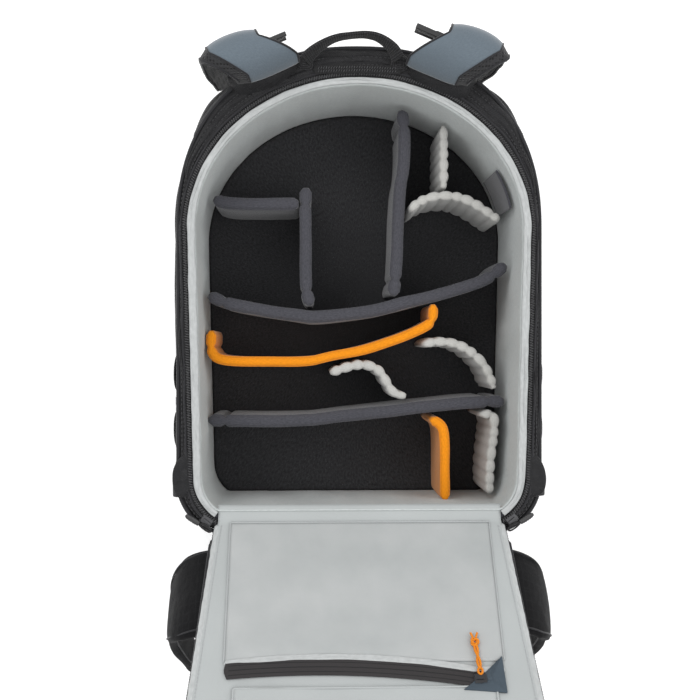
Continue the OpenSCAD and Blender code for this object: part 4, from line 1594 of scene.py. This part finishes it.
def make_hip_belt(side, sign, body):
    """Webbing out of a wing's end with the plug half of its buckle."""
    path = curve([(178 * MM, 190 * MM), (174 * MM, 203 * MM), (172 * MM, 214 * MM),
                  (172 * MM, 232 * MM)], 40)
    route = on_flap(sign * path[:, 0], BELT_S, path[:, 1])
    belt = swept("hip_webbing_" + side, route, lozenge(20 * MM, 2.0 * MM, 6, 20), WEBBING,
                 (sign, 0, 0))
    place(belt, body, "webbing", "hip_buckle_" + side)
    parts = [((166.4, 35, 227), (177.6, 59, 233)), ((167.5, 33, 225), (176.5, 37, 244)),
             ((167.5, 57, 225), (176.5, 61, 244)), ((169, 44, 231), (175, 50, 246)),
             ((166.4, 38, 234), (177.6, 56, 236)), ((167, 36, 223), (169, 58, 228))]
    male = bars("hip_clip_" + side, parts, PLASTIC, 1.2 * MM,
                lambda p: on_flap(sign * p[0], p[1], p[2]))
    place(male, body, "buckle_plastic")


# ---- shoulder straps and handle ---------------------------------------------------------

YOKE_X = -7.5 * MM
STRAP_ROOT = np.array([77.5, 214.5, 240]) * MM
SPLAY = math.radians(23)
STRAP_W = 65 * MM
STRAP_TH = 12 * MM
STRAP_MIDDLE = 5.5 * MM
STRAP_SHIFT = 27 * MM
STRAP_CREST = 35 * MM
STRAP_BOW = 5.5 * MM
LEFT_LAY = 0.92
RIGHT_LAY = 1.10
STRAP_ROUTE = [(0, -4), (0, 2), (3, 14), (14, 26), (29, 29), (40, 20), (44, -6), (46, -90),
               (50, -150), (52, -196)]


def on_strap(points, sign):
    """Points given across, along and above a splayed strap, in the bag's frame. The strap
    moves outwards on its way to the crest and then hangs straight. Its crest is bowed, and
    the left strap lies a little closer to the bag than the right one."""
    p = np.asarray(points, float)
    risen = np.clip(p[..., 1] / STRAP_CREST, 0, 1)
    moved = np.maximum(risen, np.clip(-p[..., 2] / 0.1, 0, 1))
    bow = STRAP_BOW * (2 * p[..., 0] / STRAP_W) ** 2 * risen * np.clip(1 + p[..., 2] / 0.06, 0, 1)
    across = p[..., 0] + STRAP_MIDDLE + STRAP_SHIFT * moved
    along = (p[..., 1] - bow) * (LEFT_LAY if sign < 0 else RIGHT_LAY)
    x = across * math.cos(SPLAY) + along * math.sin(SPLAY)
    y = -across * math.sin(SPLAY) + along * math.cos(SPLAY)
    placed = np.stack([x, y, p[..., 2]], axis=-1) + STRAP_ROOT
    return placed * (sign, 1, 1) + (YOKE_X, 0, 0)


def strap_line(count):
    line = curve(np.array(STRAP_ROUTE) * MM, count)
    return line, left_of(line)


def strap_rings(line, normal, half_w, profile):
    """Rings from a profile of (across as a share of half_w, off) points."""
    x = profile[None, :, 0] * half_w[:, None]
    y = line[:, None, 0] + normal[:, None, 0] * profile[None, :, 1]
    z = line[:, None, 1] + normal[:, None, 1] * profile[None, :, 1]
    return np.stack([np.broadcast_to(x, y.shape), y, z], axis=-1)


def make_shoulder_straps():
    """Foam, outer cloth and piping of both straps, then their hardware and roots."""
    count = 150
    line, normal = strap_line(count)
    at = lengths(line)
    half_w = STRAP_W / 2 * np.interp(at, [0, 0.6 * at[-1], at[-1]], [0.98, 0.96, 0.72])
    foam = lozenge(2.0, STRAP_TH * 0.92, 5.0, 60)
    sloping = np.interp(foam[:, 0], [0.62, 1], [1, 0.1])
    foam[:, 1] *= np.where(foam[:, 1] > 0, sloping, 1)
    face_x = np.linspace(-0.95, 0.64, 26)
    top = STRAP_TH * 0.46 + 1.1 * MM * (1 - abs((face_x + 0.155) / 0.795) ** 4)
    face = np.vstack([np.column_stack([face_x, top]),
                      np.column_stack([face_x[::-1], top[::-1] - 1.4 * MM])])
    for side, sign in SIDES:
        body = "shoulder_strap_" + side
        rings = on_strap(strap_rings(line, normal, half_w, foam), sign)
        rings = crumple(rings, 1.5 * MM, 22.0, 81)
        pad = loft("strap_foam_" + side, rings, SPACER)
        place(pad, body, "black_mesh", "strap_pad_" + side)
        rings = on_strap(strap_rings(line[3:-3], normal[3:-3], half_w[3:-3], face), sign)
        skin = loft("strap_face_" + side, crumple(rings, 1.5 * MM, 22.0, 81), STRAP)
        place(skin, body, "strap_blue")
        edges = []
        for edge, off in ((-0.965, 0.44), (-0.965, -0.40), (0.66, 0.42), (0.975, 0.04),
                          (0.965, -0.40)):
            profile = np.array([[edge, off * STRAP_TH]])
            path = on_strap(strap_rings(line[3:-3], normal[3:-3], half_w[3:-3], profile),
                            sign)[:, 0]
            edges.append(tube("edge", crumple(path, 1.5 * MM, 22.0, 81), 1.1 * MM,
                              SMOOTH_NYLON, taper=3 * MM))
        place(joined("strap_piping_" + side, edges), body, "black_mesh")
        make_strap_hardware(side, sign, body)
        make_strap_root(side, sign)


def make_strap_hardware(side, sign, body):
    """Webbing tail, ladder lock, and half of the sternum strap."""
    route = np.array([(52, -192), (53, -207), (56, -222), (44, -233), (16, -233)]) * MM
    route = curve(route, 70)
    profile = lozenge(2.0, 2.0 * MM, 6.0, 20)
    rings = strap_rings(route, left_of(route), np.full(len(route), 12.5 * MM), profile)
    belt = loft("strap_webbing_tail_" + side, on_strap(rings, sign), WEBBING)
    place(belt, body, "webbing", "strap_webbing_" + side)
    frame_bars = [((-17, 47, -206.5), (-13.4, 57, -196.5)), ((13.4, 47, -206.5), (17, 57, -196.5)),
                  ((-17, 48, -206.5), (17, 51, -204)), ((-17, 50.5, -203), (17, 53.5, -200.5)),
                  ((-17, 49, -199), (17, 52.5, -196.5)), ((-15, 54, -205), (15, 57, -202.5))]
    lock = bars("strap_lock_" + side, frame_bars, PLASTIC, 0.9 * MM,
                lambda p: on_strap(p, sign))
    place(lock, body, "buckle_plastic", "strap_buckle_" + side)
    tilt = math.radians(3.8)

    def on_sternum(p):
        y = p[1] * math.cos(tilt) - p[2] * math.sin(tilt) + 55.5 * MM
        z = p[1] * math.sin(tilt) + p[2] * math.cos(tilt) - 118 * MM
        return on_strap(np.array([p[0], y, z]), sign)

    path = xyz(np.linspace(-2, -32, 20), 1.2, 0) * MM
    rings = sweep(path, lozenge(20 * MM, 1.9 * MM, 6, 18), (0, 1, 0), taper=1 * MM)
    rings = np.array([[on_sternum(p) for p in ring] for ring in rings])
    place(loft("sternum_webbing_" + side, rings, WEBBING), body, "webbing",
          "sternum_strap_" + side)
    clip = [((-44, -0.8, -12), (-30, 6.6, 12)), ((-66, 0.2, -12.6), (-40, 5.8, -8.4)),
            ((-66, 0.2, 8.4), (-40, 5.8, 12.6)), ((-62, 1, -3), (-40, 5, 3)),
            ((-35, -0.6, -10.5), (-28, 2.6, 10.5))]
    place(bars("sternum_clip_" + side, clip, PLASTIC, 1.1 * MM, on_sternum), body,
          "buckle_plastic")


def make_strap_root(side, sign):
    """Fabric mound on the bag that the strap is sewn into."""
    base = YOKE_Z - STRAP_ROOT[2]
    ring = lozenge(1.0, 1.0, 3.2, 60)
    levels = [(68, 34, 0.0), (66, 32, 2.0), (63, 27, 5.5), (60, 21, 10), (57, 17, 13.0),
              (52, 13, 15.0), (44, 8, 16.0), (30, 4, 16.2)]
    rings = []
    for width, depth, height in levels:
        across = ring[:, 0] * width * MM
        along = ring[:, 1] * depth * MM + (1.5 - 0.15 * height) * MM
        rings.append(xyz(across, along, base - 1 * MM + height * MM))
    mound = crumple(on_strap(np.array(rings), sign), 2.2 * MM, 40.0, 83)
    place(loft("strap_root_" + side, mound, NYLON), "bag", "black_nylon")


HANDLE_X = -8 * MM
HANDLE_Y = 226 * MM


def make_handle():
    """Carry handle, a low arc of webbing that stands on its edge and leans at both ends."""
    low, high = box("handle")
    x, y, z = HANDLE_X, HANDLE_Y, (low[2] + high[2]) / 2
    route = [(-46, -2), (-34, 10), (-17, 19.5), (0, 22), (14, 23), (27, 20), (40, 10), (45, -1)]
    path = curve([(x + a * MM, y + b * MM, z) for a, b in route], 120)
    lean = math.radians(38) * np.linspace(-1, 1, 120) ** 2
    flat = lozenge(4.2 * MM, 17 * MM, 5, 24)
    section = np.stack([flat[None, :, 0] * np.cos(lean)[:, None]
                        - flat[None, :, 1] * np.sin(lean)[:, None],
                        flat[None, :, 0] * np.sin(lean)[:, None]
                        + flat[None, :, 1] * np.cos(lean)[:, None]], axis=-1)
    strap = swept("handle_webbing", path, section, WEBBING)
    place(strap, "handle", "webbing", "handle")
    for side, sign in SIDES:
        foot = np.array([x + sign * 47 * MM, y - 3 * MM, YOKE_Z + 4.2 * MM])
        levels = [(18, 17, -4.5), (17, 16, -1.0), (15, 14, 1.2), (12, 11, 2.4), (5, 5, 2.9)]
        ring = lozenge(1.0, 1.0, 4.0, 48)
        rings = np.stack([foot + xyz(ring[:, 0] * w * MM, ring[:, 1] * d * MM, h * MM)
                          for w, d, h in levels])
        place(loft("handle_foot_" + side, crumple(rings, 0.8 * MM, 60.0, 91), WEBBING), "bag",
              "webbing")


# ---- room -------------------------------------------------------------------------------

CAMERA_AT = (-0.050, -0.060, 1.425)
CAMERA_AIM = (-0.0099, -0.060, 0.225)


def make_camera():
    data = bpy.data.cameras.new("camera")
    data.lens = 62.43
    data.sensor_width = 36.0
    camera = bpy.data.objects.new("camera", data)
    bpy.context.scene.collection.objects.link(camera)
    camera.location = CAMERA_AT
    ahead = (Vector(CAMERA_AIM) - Vector(CAMERA_AT)).normalized()
    right = ahead.cross(Vector((0, 1, 0))).normalized()
    over = right.cross(ahead)
    rotation = camera.rotation_euler.to_matrix()
    rotation.col[0], rotation.col[1], rotation.col[2] = right, over, -ahead
    camera.rotation_euler = rotation.to_euler()
    bpy.context.scene.camera = camera


def make_light(name, at, size, power):
    data = bpy.data.lights.new(name, "AREA")
    data.shape = "RECTANGLE"
    data.size, data.size_y = size
    data.energy = power
    light = bpy.data.objects.new(name, data)
    light.location = at
    light.rotation_euler = (Vector((0, 0, 0.15)) - Vector(at)).to_track_quat("-Z", "Y").to_euler()
    bpy.context.scene.collection.objects.link(light)


def make_room():
    bpy.ops.mesh.primitive_plane_add(size=8)
    floor = bpy.context.object
    floor.name = "studio_floor"
    material, tree, shader = new_surface("studio_floor", 0.9)
    where = object_space(tree)
    tint = mixed(tree, spotted(tree, where, 1.2), (0.93, 0.93, 0.93, 1), (0.97, 0.97, 0.97, 1))
    tree.links.new(tint, shader.inputs["Base Color"])
    shader.inputs["Emission Color"].default_value = (1, 1, 1, 1)
    shader.inputs["Emission Strength"].default_value = 0.3
    floor.data.materials.append(material)
    world = bpy.data.worlds.new("studio")
    bpy.context.scene.world = world
    world.use_nodes = True
    world.node_tree.nodes["Background"].inputs["Color"].default_value = (1, 1, 1, 1)
    world.node_tree.nodes["Background"].inputs["Strength"].default_value = 0.78
    make_light("key", (-0.9, 0.9, 1.9), (1.4, 1.0), 16)
    make_light("fill", (1.2, 0.1, 1.7), (1.2, 1.2), 9)
    make_light("top", (0.1, -0.5, 2.4), (1.6, 1.6), 12)
    bpy.context.scene.view_settings.view_transform = "Standard"


for make in (make_camera, make_shell, make_reinforcements, make_yoke, make_binding,
             make_main_zip, make_main_sliders, make_main_pulls, make_top_zip,
             make_laptop_shell, make_front_pocket, make_front_zips, make_side_ridges,
             make_corner_rolls, make_side_pockets, make_side_straps, make_anchors,
             make_wall_lining, make_foam_wall, make_floor, make_dividers, make_flap_lining,
             make_flap_edges, make_flap_cover, make_flap_hinge, make_pocket_window,
             make_pocket_zips, make_lower_pocket, make_corner_patch, make_pocket_slider,
             make_pocket_pull, make_back_pads, make_hip_wings, make_shoulder_straps,
             make_handle, make_room):
    make()
